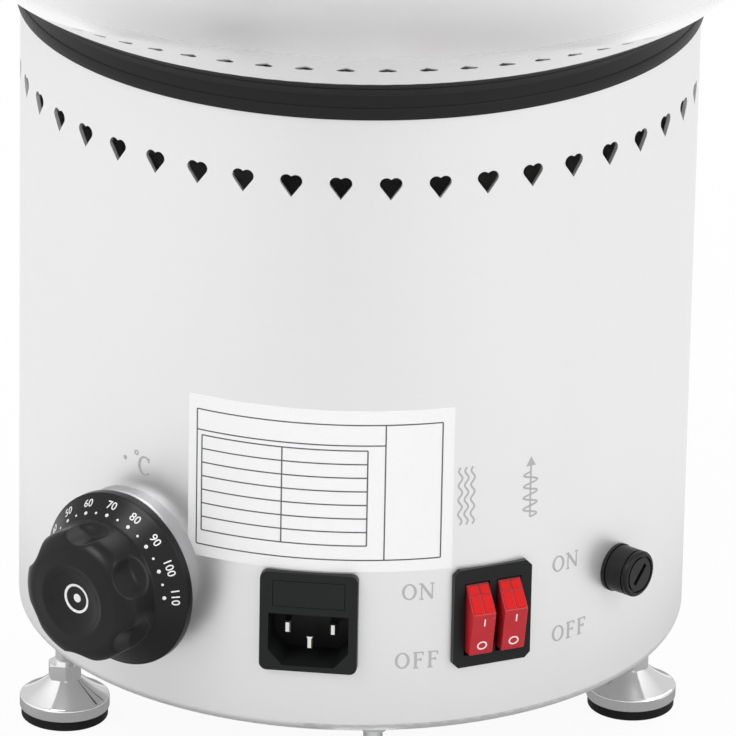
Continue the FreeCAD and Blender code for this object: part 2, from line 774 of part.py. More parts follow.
def inlet_pins():
    """Line, neutral and earth blades."""
    centre = socket_centre_y()
    live_tip = inlet_flange_proud - pin_tip_depth
    earth_tip = inlet_flange_proud - earth_tip_depth
    pins = [inlet_pin(side * pin_spacing / 2, centre + pin_row_offset, live_tip) for side in (-1, 1)]
    pins.append(inlet_pin(0, centre - pin_row_offset, earth_tip))
    return on_panel(Part.makeCompound(pins), inlet_azimuth, panel_row_z)


def inlet_body():
    """Moulded inlet: saddle flange, socket mouth and the bay of the fuse drawer."""
    flange = saddle(rounded_plate(inlet_flange_width, inlet_flange_height, inlet_flange_corner,
                                  -base_corner, inlet_flange_proud))
    body = centred_box(inlet_body_width, inlet_body_height, -inlet_body_depth, inlet_flange_proud / 2)
    bay = centred_box(drawer_width + 2 * drawer_play, drawer_height + 2 * drawer_play,
                      inlet_flange_proud - drawer_depth - slip_fit, inlet_flange_proud + 1, 0, drawer_centre_y())
    centre = socket_centre_y()
    pin_holes = [centred_box(pin_width, pin_height, -inlet_body_depth - 1, 0, side * pin_spacing / 2,
                             centre + pin_row_offset) for side in (-1, 1)]
    pin_holes.append(centred_box(pin_width, pin_height, -inlet_body_depth - 1, 0, 0, centre - pin_row_offset))
    body = flange.fuse(body).cut([socket_recess(), bay] + pin_holes)
    return on_panel(body.removeSplitter(), inlet_azimuth, panel_row_z)


def fuse_drawer():
    """Drawer for the spare fuse, flush with the inlet's flange."""
    y = drawer_centre_y()
    rear = inlet_flange_proud - drawer_depth
    drawer = centred_box(drawer_width, drawer_height, rear, inlet_flange_proud, 0, y)
    pocket_width = drawer_width - 2 * drawer_wall
    pocket_rear = rear + drawer_wall
    pocket = Part.makeBox(pocket_width, drawer_height, 4 * spare_fuse_radius,
                          Vec(-pocket_width / 2, y - drawer_height / 2 + drawer_wall, pocket_rear))
    return on_panel(drawer.cut(pocket), inlet_azimuth, panel_row_z)


def drawer_fuse():
    """Glass fuse lying across the drawer."""
    y = drawer_centre_y() - drawer_height / 2 + drawer_wall + spare_fuse_radius
    z = inlet_flange_proud - drawer_depth + drawer_wall + 2 * spare_fuse_radius
    ferrule = fuse_ferrule
    glass = Part.makeCylinder(spare_fuse_radius - 0.25, spare_fuse_length, Vec(-spare_fuse_length / 2, y, z),
                              Vec(1, 0, 0))
    ends = [Part.makeCylinder(spare_fuse_radius, ferrule, Vec(x, y, z), Vec(1, 0, 0))
            for x in (-spare_fuse_length / 2, spare_fuse_length / 2 - ferrule)]
    return on_panel(glass.fuse(ends), inlet_azimuth, panel_row_z)


def rocker_wells(grow):
    """Prisms of the two rocker wells in the panel frame."""
    bottom = switch_flange_proud - well_depth
    return [centred_box(rocker_width + 2 * well_side_gap, well_height, bottom, switch_flange_proud + grow,
                        side * rocker_pitch / 2, -well_drop) for side in (-1, 1)]


def pivot_pin(x, radius, play):
    """Pivot of one rocker, as a cylinder along the tangent."""
    half = rocker_width / 2 + well_side_gap + pivot_stub + play
    return Part.makeCylinder(radius, 2 * half, Vec(x - half, -well_drop, switch_flange_proud - pivot_depth),
                             Vec(1, 0, 0))


def switch_frame():
    """Frame of the twin switch with cut corners, two wells and six terminals."""
    flange = saddle(chamfered_plate(switch_flange_width, switch_flange_height, switch_corner,
                                    -base_corner, switch_flange_proud))
    body = centred_box(switch_body_width, switch_body_height, -switch_body_depth, switch_flange_proud / 2)
    pivots = [pivot_pin(side * rocker_pitch / 2, pivot_radius + running_fit, running_fit) for side in (-1, 1)]
    frame = flange.fuse(body).cut(rocker_wells(1.0) + pivots)
    return on_panel(frame.removeSplitter(), switch_azimuth, panel_row_z)


def switch_terminals():
    """Six blades behind the twin switch."""
    blades = []
    for x in (-rocker_pitch / 2, rocker_pitch / 2):
        for y in (-9.0, 0.0, 9.0):
            blades.append(centred_box(tab_thick, tab_width, -switch_body_depth - tab_length, -switch_body_depth,
                                      x, y))
    return on_panel(Part.makeCompound(blades), switch_azimuth, panel_row_z)


def rocker(side):
    """One rocker, resting with its top pressed in."""
    pivot_z = switch_flange_proud - pivot_depth
    reach = rocker_reach
    outline = [
        (reach, rocker_end_front), (reach - 0.7, -1.0), (rocker_rear_half, -rocker_rear_depth),
        (-rocker_rear_half, -rocker_rear_depth), (-reach + 0.7, -1.0), (-reach, rocker_end_front + 0.4),
        (rocker_ridge_up, rocker_ridge_front)]
    left = side * rocker_pitch / 2 - rocker_width / 2
    points = [Vec(left, y - well_drop, z + pivot_z) for y, z in outline + outline[:1]]
    body = Part.Face(Part.makePolygon(points)).extrude(Vec(rocker_width, 0, 0))
    ridge = [e for e in body.Edges if abs(e.CenterOfMass.z - (pivot_z + rocker_ridge_front)) < 1e-3]
    body = body.makeFillet(0.6, ridge)
    body = body.fuse(pivot_pin(side * rocker_pitch / 2, pivot_radius, 0.0))
    body.rotate(Vec(0, -well_drop, pivot_z), Vec(1, 0, 0), -rocker_tilt)
    return on_panel(body, switch_azimuth, panel_row_z)


def fuse_holder():
    """Threaded tube of the panel fuse holder, closed at the back, with a solder tab."""
    flange = saddle(cylinder(holder_flange_radius, -base_corner, holder_flange_proud))
    tube = cylinder(holder_tube_radius, -holder_depth, holder_flange_proud / 2)
    tab = centred_box(tab_width, tab_thick, -holder_depth - tab_length, -holder_depth)
    bore = cylinder(holder_bore_radius, holder_bottom, holder_flange_proud + 1)
    body = flange.fuse([tube, tab]).cut(bore)
    return on_panel(body.removeSplitter(), fuse_azimuth, fuse_z)


def fuse_holder_nut():
    """Nut that clamps the fuse holder from inside the shell."""
    corner = holder_nut_across / math.sqrt(3)
    top = math.sqrt((base_radius - sheet) ** 2 - corner ** 2) - base_radius - saddle_fit
    nut = hexagon(holder_nut_across, top - holder_nut_height, top)
    nut = nut.cut(cylinder(holder_tube_radius, top - holder_nut_height, top))
    return on_panel(nut, fuse_azimuth, fuse_z)


def fuse_cap():
    """Cap of the fuse holder: head with a rim and a screwdriver slot, and a hollow stem."""
    back = holder_flange_proud + slip_fit
    face = back + cap_height
    head = lathe([
        line((0, back), (cap_radius, back)),
        line((cap_radius, back), (cap_radius, face - 0.9)),
        arc((cap_radius, face - 0.9), (cap_radius - 0.27, face - 0.27), (cap_radius - 0.9, face)),
        line((cap_radius - 0.9, face), (0, face)),
        line((0, face), (0, back))])
    groove = washer(cap_radius - 2.0, cap_radius - 1.3, face - 0.6, face + 1)
    slot = centred_box(cap_slot_width, cap_slot_length, face - cap_slot_depth, face + 1)
    slot.rotate(Vec(0, 0, 0), Vec(0, 0, 1), -cap_slot_angle)
    step = washer(cap_radius - 0.35, cap_radius + 1, face - 2.2, face - 1.7)
    stem = cylinder(cap_stem_radius, back - cap_stem_length, back)
    bore = cylinder(fuse_radius + 2 * running_fit, back - cap_stem_length, fuse_front() + slip_fit)
    cap = head.fuse(stem).cut([groove, slot, step, bore])
    return on_panel(cap, fuse_azimuth, fuse_z)


def fuse_front():
    """Depth of the panel fuse's front end in the panel frame."""
    return holder_flange_proud + slip_fit - cap_stem_length + fuse_grip_depth


def panel_fuse():
    """Glass fuse carried by the fuse holder's cap."""
    end = fuse_front()
    start = end - fuse_length
    glass = fuse_radius - 0.25
    section = lathe_polygon([
        (0, start), (fuse_radius, start), (fuse_radius, start + fuse_ferrule), (glass, start + fuse_ferrule),
        (glass, end - fuse_ferrule), (fuse_radius, end - fuse_ferrule), (fuse_radius, end), (0, end)])
    return on_panel(section, fuse_azimuth, fuse_z)


def heater_ring():
    """Flat ring heater against the underside of the bowl."""
    ring = washer(heater_inner_radius, heater_outer_radius, floor_z - heater_thick, floor_z)
    holes = ring_of(cylinder(heater_stud_radius, floor_z - heater_thick, floor_z, *front(heater_stud_circle)),
                    stud_count)
    return ring.cut(holes)


def heater_clamp():
    """Sheet ring with a turned-down edge that presses the heater to the bowl."""
    top = floor_z - heater_thick
    bottom = top - clamp_thick
    ring = lathe_polygon([
        (heater_inner_radius - clamp_margin, top), (heater_outer_radius + clamp_margin, top),
        (heater_outer_radius + clamp_margin, bottom - 3 * clamp_thick),
        (heater_outer_radius + clamp_margin - clamp_thick, bottom - 3 * clamp_thick),
        (heater_outer_radius + clamp_margin - clamp_thick, bottom), (heater_inner_radius - clamp_margin, bottom)])
    holes = ring_of(cylinder(heater_stud_radius, bottom, top, *front(heater_stud_circle)), stud_count)
    return ring.cut(holes)


def heater_nuts():
    """Nuts on the bowl's welded studs."""
    top = floor_z - heater_thick - clamp_thick
    nut = hexagon(heater_nut_across, top - heater_nut_height, top, *front(heater_stud_circle))
    nut = nut.cut(cylinder(heater_stud_radius, top - heater_nut_height, top, *front(heater_stud_circle)))
    return ring_of(nut, stud_count)


def bulb_frame(shape):
    """Move a shape drawn at (0, -bulb_distance) to the bulb's azimuth."""
    return around(shape, bulb_azimuth)


def rounded_run(points, radius):
    """Tube along straight runs joined by the largest tangent arcs that the runs allow."""
    edges = []
    last = points[0]
    for before, corner, after in zip(points[:-2], points[1:-1], points[2:]):
        into = corner - before
        out = after - corner
        setback = 0.45 * min(into.Length, out.Length)
        into.normalize()
        out.normalize()
        half_turn = math.acos(max(-1.0, min(1.0, into.dot(out)))) / 2
        bend = setback / math.tan(half_turn)
        start = corner - into * setback
        end = corner + out * setback
        inward = out - into
        inward.normalize()
        middle = corner + inward * (bend / math.cos(half_turn) - bend)
        edges.append(Part.LineSegment(last, start).toShape())
        edges.append(Part.Arc(start, middle, end).toShape())
        last = end
    edges.append(Part.LineSegment(last, points[-1]).toShape())
    path = Part.Wire(edges)
    direction = points[1] - points[0]
    circle = Part.Wire(Part.makeCircle(radius, points[0], direction))
    return path.makePipeShell([circle], True, False)


def capillary():
    """Thin copper tube from the back of the thermostat up to its sensing bulb."""
    bulb_z = floor_z - bulb_radius
    bulb_end = bulb_frame(Part.Vertex(-bulb_length / 2, -bulb_distance, bulb_z)).Point
    along = bulb_frame(Part.Vertex(-bulb_length / 2 - 16, -bulb_distance + 3, bulb_z - 3)).Point
    back = thermostat_plate_front() - thermostat_plate_thick - thermostat_can_depth
    exit_point = on_panel(Part.Vertex(5, 0, back), knob_azimuth, knob_z).Point
    behind = on_panel(Part.Vertex(5, 6, back - capillary_tail), knob_azimuth, knob_z).Point
    rise = Vec(behind.x - capillary_lean, behind.y + capillary_lean, behind.z + capillary_rise)
    top = Vec(along.x, along.y + capillary_lean, bulb_z - capillary_rise)
    return rounded_run([bulb_end, along, top, rise, behind, exit_point], capillary_radius)


def sensing_bulb():
    """Copper bulb against the underside of the bowl."""
    bulb_z = floor_z - bulb_radius
    bulb = Part.makeCylinder(bulb_radius, bulb_length, Vec(-bulb_length / 2, -bulb_distance, bulb_z), Vec(1, 0, 0))
    return bulb_frame(bulb)


def bulb_clip():
    """Sheet saddle that holds the bulb to the bowl."""
    bulb_z = floor_z - bulb_radius
    outer = bulb_radius + bulb_clip_thick
    start = Vec(-bulb_clip_width / 2, -bulb_distance, bulb_z)
    strap = Part.makeCylinder(outer, bulb_clip_width, start, Vec(1, 0, 0))
    wings = centred_box(bulb_clip_width, 4 * outer, floor_z - bulb_clip_thick, floor_z, 0, -bulb_distance)
    block = centred_box(bulb_clip_width, 2 * outer, bulb_z, floor_z, 0, -bulb_distance)
    hollow = Part.makeCylinder(bulb_radius, bulb_clip_width, start, Vec(1, 0, 0))
    passage = centred_box(bulb_clip_width, 2 * bulb_radius, bulb_z, floor_z, 0, -bulb_distance)
    below = centred_box(2 * bulb_clip_width, 8 * outer, floor_z, floor_z + outer, 0, -bulb_distance)
    clip = strap.fuse([wings, block]).cut([hollow, passage, below])
    return bulb_frame(clip.removeSplitter())


def shaft_bush():
    """Flanged bush that seals the drive shaft where it enters the bowl."""
    body = cylinder(bush_radius, floor_z - bush_length, bowl_inside_z)
    flange = lathe_polygon([
        (0, bowl_inside_z), (bush_flange_radius, bowl_inside_z), (bush_flange_radius, bush_top_z - 1),
        (bush_flange_radius - 1.5, bush_top_z), (0, bush_top_z)])
    bore = cylinder(shaft_radius + running_fit, floor_z - bush_length, bush_top_z)
    return body.fuse(flange).cut(bore)


def bush_nut():
    """Nut that clamps the bush under the bowl."""
    nut = hexagon(bush_nut_across, floor_z - bush_nut_height, floor_z)
    return nut.cut(cylinder(bush_radius, floor_z - bush_nut_height, floor_z))


def motor_pillars():
    """Standoffs that hang the geared motor under the bowl."""
    pillar = cylinder(pillar_radius, motor_plate_top_z, floor_z, *front(pillar_circle))
    return ring_of(pillar, pillar_count)


def motor_plate():
    """Round plate between the standoffs and the gearbox."""
    plate = cylinder(motor_plate_radius, gearbox_top_z, motor_plate_top_z)
    pilot = cylinder(gearbox_pilot_radius, gearbox_top_z, motor_plate_top_z)
    screws = ring_of(cylinder(motor_screw_radius, gearbox_top_z, motor_plate_top_z, *front(motor_screw_circle)),
                     pillar_count, 180.0 / pillar_count)
    return plate.cut([pilot, screws])


def gearbox_case():
    """Cast gearbox with a pilot through the plate and a rounded joint flange."""
    flange = 3.0
    case = lathe_polygon([
        (0, gearbox_z), (gearbox_radius, gearbox_z), (gearbox_radius, gearbox_z + flange),
        (gearbox_radius - 2, gearbox_z + flange + 2), (gearbox_radius - 2, gearbox_top_z - 2),
        (gearbox_radius - 4, gearbox_top_z), (gearbox_pilot_radius, gearbox_top_z),
        (gearbox_pilot_radius, motor_plate_top_z), (0, motor_plate_top_z)])
    bore = cylinder(shaft_radius + running_fit, gearbox_top_z - shaft_root_depth, motor_plate_top_z)
    screws = ring_of(cylinder(motor_screw_radius, gearbox_top_z - motor_screw_bite, gearbox_top_z,
                              *front(motor_screw_circle)), pillar_count, 180.0 / pillar_count)
    return case.cut([bore, screws])


def motor_can():
    """Motor under the gearbox, with cooling slots and a rear bearing nose."""
    corner = motor_end_corner
    nose_radius = 7.0
    nose = 3.0
    can = lathe([
        line((0, gearbox_z), (motor_radius, gearbox_z)),
        line((motor_radius, gearbox_z), (motor_radius, motor_z + corner)),
        arc((motor_radius, motor_z + corner), (motor_radius - 0.29 * corner, motor_z + 0.29 * corner),
            (motor_radius - corner, motor_z)),
        line((motor_radius - corner, motor_z), (nose_radius, motor_z)),
        line((nose_radius, motor_z), (nose_radius, motor_z - nose)),
        line((nose_radius, motor_z - nose), (0, motor_z - nose)),
        line((0, motor_z - nose), (0, gearbox_z))])
    middle = (gearbox_z + motor_z) / 2
    slot = centred_box(motor_slot_width, 2 * motor_slot_depth, middle - motor_slot_height / 2,
                       middle + motor_slot_height / 2, *front(motor_radius))
    return can.cut(ring_of(slot, motor_slot_count))


def motor_screws():
    """Screws through the plate into the gearbox."""
    head = cylinder(motor_screw_head_radius, motor_plate_top_z, motor_plate_top_z + motor_screw_head_height,
                    *front(motor_screw_circle))
    shank = cylinder(motor_screw_radius, gearbox_top_z - motor_screw_bite, motor_plate_top_z,
                     *front(motor_screw_circle))
    return ring_of(head.fuse(shank), pillar_count, 180.0 / pillar_count)


def drive_shaft():
    """Output shaft with a hexagon on top that carries and turns the auger."""
    round_part = cylinder(shaft_radius, gearbox_top_z - shaft_root_depth, auger_z)
    drive = hexagon(hex_across, auger_z, shaft_top_z)
    return round_part.fuse(drive)


def auger_flight():
    """Helical blade: a flat section swept up a helix."""
    start = auger_z + auger_flight_foot
    height = tube_top - auger_flight_top_gap - auger_flight_thick - start
    helix = Part.makeHelix(auger_pitch, height, auger_flight_radius)
    helix.translate(Vec(0, 0, start))
    inner = auger_core_radius - 1.0
    points = [Vec(inner, 0, start), Vec(auger_flight_radius, 0, start),
              Vec(auger_flight_radius, 0, start + auger_flight_thick), Vec(inner, 0, start + auger_flight_thick)]
    section = Part.makePolygon(points + points[:1])
    flight = Part.Wire(helix).makePipeShell([section], True, True)
    if flight.Volume < 0:
        flight.reverse()
    return flight


def auger():
    """Screw that lifts the chocolate, with a hexagon socket in its foot."""
    top = tube_top + auger_top_rise
    core = lathe([
        line((0, auger_z), (auger_boss_radius, auger_z)),
        line((auger_boss_radius, auger_z), (auger_boss_radius, auger_z + auger_boss_height)),
        line((auger_boss_radius, auger_z + auger_boss_height), (auger_core_radius, auger_z + auger_boss_height + 4)),
        line((auger_core_radius, auger_z + auger_boss_height + 4), (auger_core_radius, top - auger_core_radius)),
        arc((auger_core_radius, top - auger_core_radius),
            (auger_core_radius * math.sqrt(0.5), top - auger_core_radius * (1 - math.sqrt(0.5))), (0, top)),
        line((0, top), (0, auger_z))])
    socket = hexagon(hex_across + 2 * hex_play, auger_z, shaft_top_z)
    return core.fuse(auger_flight()).cut(socket)


def tier_bore(index):
    """Bore radius of a canopy: the top one fits the tube, each lower one clears the collar above it."""
    bore = tube_radius + slip_fit
    for _ in range(len(tier_seats) - 1 - index):
        bore += collar_step + slip_fit
    return bore


def tower_tube():
    """Tube with intake slots at its foot and a stepped collar under each canopy."""
    tube = washer(tube_inner_radius, tube_radius, bowl_inside_z, tube_top)
    collars = []
    for index, seat in enumerate(tier_seats):
        spigot = tier_bore(index) - slip_fit
        rim = spigot + collar_step
        section = [(tube_radius - sheet / 2, seat - collar_height), (spigot, seat - collar_height),
                   (rim, seat - collar_height + collar_step), (rim, seat)]
        if spigot > tube_radius + 0.1:
            section += [(spigot, seat), (spigot, seat + spigot_height),
                        (tube_radius - sheet / 2, seat + spigot_height)]
        else:
            section += [(tube_radius - sheet / 2, seat)]
        collars.append(lathe_polygon(section))
    slot = centred_box(intake_width, 4 * sheet, bowl_inside_z - 1, bowl_inside_z + intake_height,
                       *front(tube_radius))
    return tube.fuse(collars).cut(ring_of(slot, intake_count)).removeSplitter()


def tower_seat():
    """Ring segments welded to the bowl that centre the foot of the tube."""
    inner = tube_radius + slip_fit
    ring = washer(inner, inner + seat_ring_width, bowl_inside_z, bowl_inside_z + seat_ring_height)
    gap = centred_box(seat_gap_width, 4 * seat_ring_width, bowl_inside_z, bowl_inside_z + seat_ring_height,
                      *front(tube_radius))
    return ring.cut(ring_of(gap, intake_count))


def canopy(index):
    """Domed canopy: hub sleeve, spherical sheet dome and a short turned-down lip."""
    bore = tier_bore(index)
    edge = tier_radii[index]
    seat = tier_seats[index]
    hub = bore + hub_wall
    hub_top = seat + tier_hub_height
    dome = edge / math.sin(math.radians(tier_edge_angle))
    join = hub_top - 3.0
    centre = join - math.sqrt(dome ** 2 - hub ** 2)

    def on_dome(radius, thick):
        """Point of the dome's outer or inner face at a radius."""
        return radius, centre + math.sqrt((dome - thick) ** 2 - radius ** 2)

    inner_edge = edge - sheet
    rise = on_dome(edge, 0)[1]
    return lathe([
        line((bore, seat), (hub, seat)),
        line((hub, seat), on_dome(hub, sheet)),
        arc(on_dome(hub, sheet), on_dome((hub + inner_edge) / 2, sheet), on_dome(inner_edge, sheet)),
        line(on_dome(inner_edge, sheet), (inner_edge, rise - tier_lip)),
        line((inner_edge, rise - tier_lip), (edge, rise - tier_lip)),
        line((edge, rise - tier_lip), on_dome(edge, 0)),
        arc(on_dome(edge, 0), on_dome((hub + edge) / 2, 0), on_dome(hub, 0)),
        line(on_dome(hub, 0), (hub, hub_top)),
        line((hub, hub_top), (bore, hub_top)),
        line((bore, hub_top), (bore, seat))])


def crown():
    """Open cup on top of the tube: sleeve, inner shoulder and flared wall."""
    sleeve_inner = tube_radius + slip_fit
    sleeve_outer = sleeve_inner + hub_wall
    rim = tube_top + crown_cup_height
    floor = tube_top + crown_floor
    bead = 1.4
    return lathe([
        line((sleeve_inner, tube_top - crown_sleeve), (sleeve_outer, tube_top - crown_sleeve)),
        line((sleeve_outer, tube_top - crown_sleeve), (sleeve_outer, floor - sheet)),
        arc((sleeve_outer, floor - sheet), ((sleeve_outer + crown_cup_radius) / 2 + 3.4, (floor + rim) / 2 - 6.0),
            (crown_cup_radius, rim - bead)),
        arc((crown_cup_radius, rim - bead), (crown_cup_radius - 0.3 * bead, rim - 0.3 * bead),
            (crown_cup_radius - bead, rim)),
        line((crown_cup_radius - bead, rim), (crown_cup_radius - 2 * sheet, rim - bead)),
        arc((crown_cup_radius - 2 * sheet, rim - bead),
            ((sleeve_outer + crown_cup_radius) / 2 + 1.6, (floor + rim) / 2 - 5.2),
            (tube_inner_radius, floor)),
        line((tube_inner_radius, floor), (tube_inner_radius, tube_top)),
        line((tube_inner_radius, tube_top), (sleeve_inner, tube_top)),
        line((sleeve_inner, tube_top), (sleeve_inner, tube_top - crown_sleeve))])


def terminal_block():
    """Screw terminal block on the bottom plate."""
    top = plate_top_z + block_height
    block = centred_box(block_length, block_width, plate_top_z, top, block_x, block_y)
    pitch = block_length / block_poles
    wells = []
    for pole in range(block_poles):
        x = block_x - block_length / 2 + pitch * (pole + 0.5)
        wells += [cylinder(2.2, top - 5, top, x, block_y + side * block_width / 4) for side in (-1, 1)]
        wells.append(centred_box(3.0, block_width + 2, plate_top_z + 2, plate_top_z + 5, x, block_y))
    return block.cut(wells)


def build():
    """All nodes of the fountain, by name."""
    nodes = {
        "base_shell": base_shell(),
        "rim_ring": rim_ring(),
        "bowl": bowl(),
        "bottom_plate": bottom_plate(),
        "bottom_screws": bottom_screws(),
        "foot_sockets": foot_sockets(),
        "foot_lock_nuts": foot_lock_nuts(),
        "dial_boss": dial_boss(),
        "dial_knob": knob(),
        "thermostat_spindle": thermostat_spindle(),
        "thermostat_body": thermostat_body(),
        "thermostat_screws": thermostat_screws(),
        "capillary_tube": capillary(),
        "sensing_bulb": sensing_bulb(),
        "bulb_clip": bulb_clip(),
        "inlet_body": inlet_body(),
        "inlet_pins": inlet_pins(),
        "fuse_drawer": fuse_drawer(),
        "drawer_fuse": drawer_fuse(),
        "switch_frame": switch_frame(),
        "switch_terminals": switch_terminals(),
        "heat_rocker": rocker(-1),
        "motor_rocker": rocker(1),
        "fuse_holder": fuse_holder(),
        "fuse_holder_nut": fuse_holder_nut(),
        "fuse_cap": fuse_cap(),
        "panel_fuse": panel_fuse(),
        "heater_ring": heater_ring(),
        "heater_clamp": heater_clamp(),
        "heater_nuts": heater_nuts(),
        "shaft_bush": shaft_bush(),
        "bush_nut": bush_nut(),
        "motor_pillars": motor_pillars(),
        "motor_plate": motor_plate(),
        "gearbox_case": gearbox_case(),
        "motor_can": motor_can(),
        "motor_screws": motor_screws(),
        "terminal_block": terminal_block(),
        "drive_shaft": drive_shaft(),
        "auger": auger(),
        "tower_seat": tower_seat(),
        "tower_tube": tower_tube(),
        "crown": crown(),
    }
    for number in range(foot_count):
        azimuth = foot_first_azimuth + 360.0 * number / foot_count
        nodes["foot_%d_stud" % (number + 1)] = foot_stud(azimuth)
        nodes["foot_%d_pad" % (number + 1)] = foot_pad(azimuth)
    for index, name in enumerate(("lower_canopy", "middle_canopy", "upper_canopy")):
        nodes[name] = canopy(index)
    return nodes


os.makedirs("parts", exist_ok=True)
for node, shape in build().items():
    if not shape.isValid():
        raise ValueError("invalid solid: " + node)
    shape.exportStep("parts/%s.step" % node)
    print("%-20s solids %2d volume %10.1f" % (node, len(shape.Solids), shape.Volume))
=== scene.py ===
"""Looks of a table-top chocolate fountain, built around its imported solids.

Lengths in the classes are millimetres, as on a drawing, and are turned into metres where a mesh
is made. Azimuths are degrees round the base, from the inlet's side at -Y towards +X.
"""

import json
import logging
import math
from dataclasses import dataclass
from enum import Enum
from typing import Any, Callable, Dict, List, Optional, Sequence, Tuple, Union

import bmesh
import bpy
from mathutils import Matrix, Vector

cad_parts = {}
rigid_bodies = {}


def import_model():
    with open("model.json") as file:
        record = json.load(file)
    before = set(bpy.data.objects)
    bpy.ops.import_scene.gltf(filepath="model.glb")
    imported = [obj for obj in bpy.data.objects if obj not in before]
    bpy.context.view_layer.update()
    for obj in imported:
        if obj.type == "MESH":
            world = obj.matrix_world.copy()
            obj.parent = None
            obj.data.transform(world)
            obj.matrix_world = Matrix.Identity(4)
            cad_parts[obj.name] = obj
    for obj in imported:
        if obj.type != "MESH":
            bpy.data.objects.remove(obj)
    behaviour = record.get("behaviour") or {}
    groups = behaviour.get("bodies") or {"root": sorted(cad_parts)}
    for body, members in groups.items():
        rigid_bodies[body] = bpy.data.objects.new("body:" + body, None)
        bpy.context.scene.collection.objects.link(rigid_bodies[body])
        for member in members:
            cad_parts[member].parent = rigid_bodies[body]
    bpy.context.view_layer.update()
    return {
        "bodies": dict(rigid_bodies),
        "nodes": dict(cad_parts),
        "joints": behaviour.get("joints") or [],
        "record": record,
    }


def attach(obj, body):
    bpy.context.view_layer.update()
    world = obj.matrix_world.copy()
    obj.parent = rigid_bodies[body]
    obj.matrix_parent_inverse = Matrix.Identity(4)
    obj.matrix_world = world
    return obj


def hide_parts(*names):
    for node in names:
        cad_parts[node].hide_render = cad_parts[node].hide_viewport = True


LOG = logging.getLogger("fountain")
MM = 0.001

Colour = Tuple[float, float, float]
Point2 = Tuple[float, float]
Place = Callable[[float, float, float], Vector]


class Value:
    """A number that varies over a surface, with Python arithmetic that adds Math nodes."""

    def __init__(self, tree: bpy.types.NodeTree, socket: bpy.types.NodeSocket) -> None:
        """Wrap one output socket of a node tree."""
        self.tree = tree
        self.socket = socket

    def maths(self, operation: str, *others: Union[float, "Value"], flip: bool = False) -> "Value":
        """Result of one Math node.

        Args:
            operation: the Math node's operation.
            others: further inputs, as numbers or values.
            flip: put this value after the first of the others.

        Returns:
            The node's output as a value.
        """
        node = self.tree.nodes.new("ShaderNodeMath")
        node.operation = operation
        inputs: List[Any] = [self, *others]
        if flip:
            inputs = [others[0], self]
        for socket, item in zip(node.inputs, inputs):
            if isinstance(item, Value):
                self.tree.links.new(item.socket, socket)
            else:
                socket.default_value = float(item)
        return Value(self.tree, node.outputs[0])

    def __add__(self, other: Union[float, "Value"]) -> "Value":
        """Sum."""
        return self.maths("ADD", other)

    __radd__ = __add__

    def __sub__(self, other: Union[float, "Value"]) -> "Value":
        """Difference."""
        return self.maths("SUBTRACT", other)

    def __rsub__(self, other: float) -> "Value":
        """A number minus this value."""
        return self.maths("SUBTRACT", other, flip=True)

    def __mul__(self, other: Union[float, "Value"]) -> "Value":
        """Product."""
        return self.maths("MULTIPLY", other)

    __rmul__ = __mul__

    def __truediv__(self, other: Union[float, "Value"]) -> "Value":
        """Quotient."""
        return self.maths("DIVIDE", other)

    def __pow__(self, power: float) -> "Value":
        """Power."""
        return self.maths("POWER", power)

    def clamped(self) -> "Value":
        """The value held between 0 and 1."""
        return self.maths("MAXIMUM", 0.0).maths("MINIMUM", 1.0)


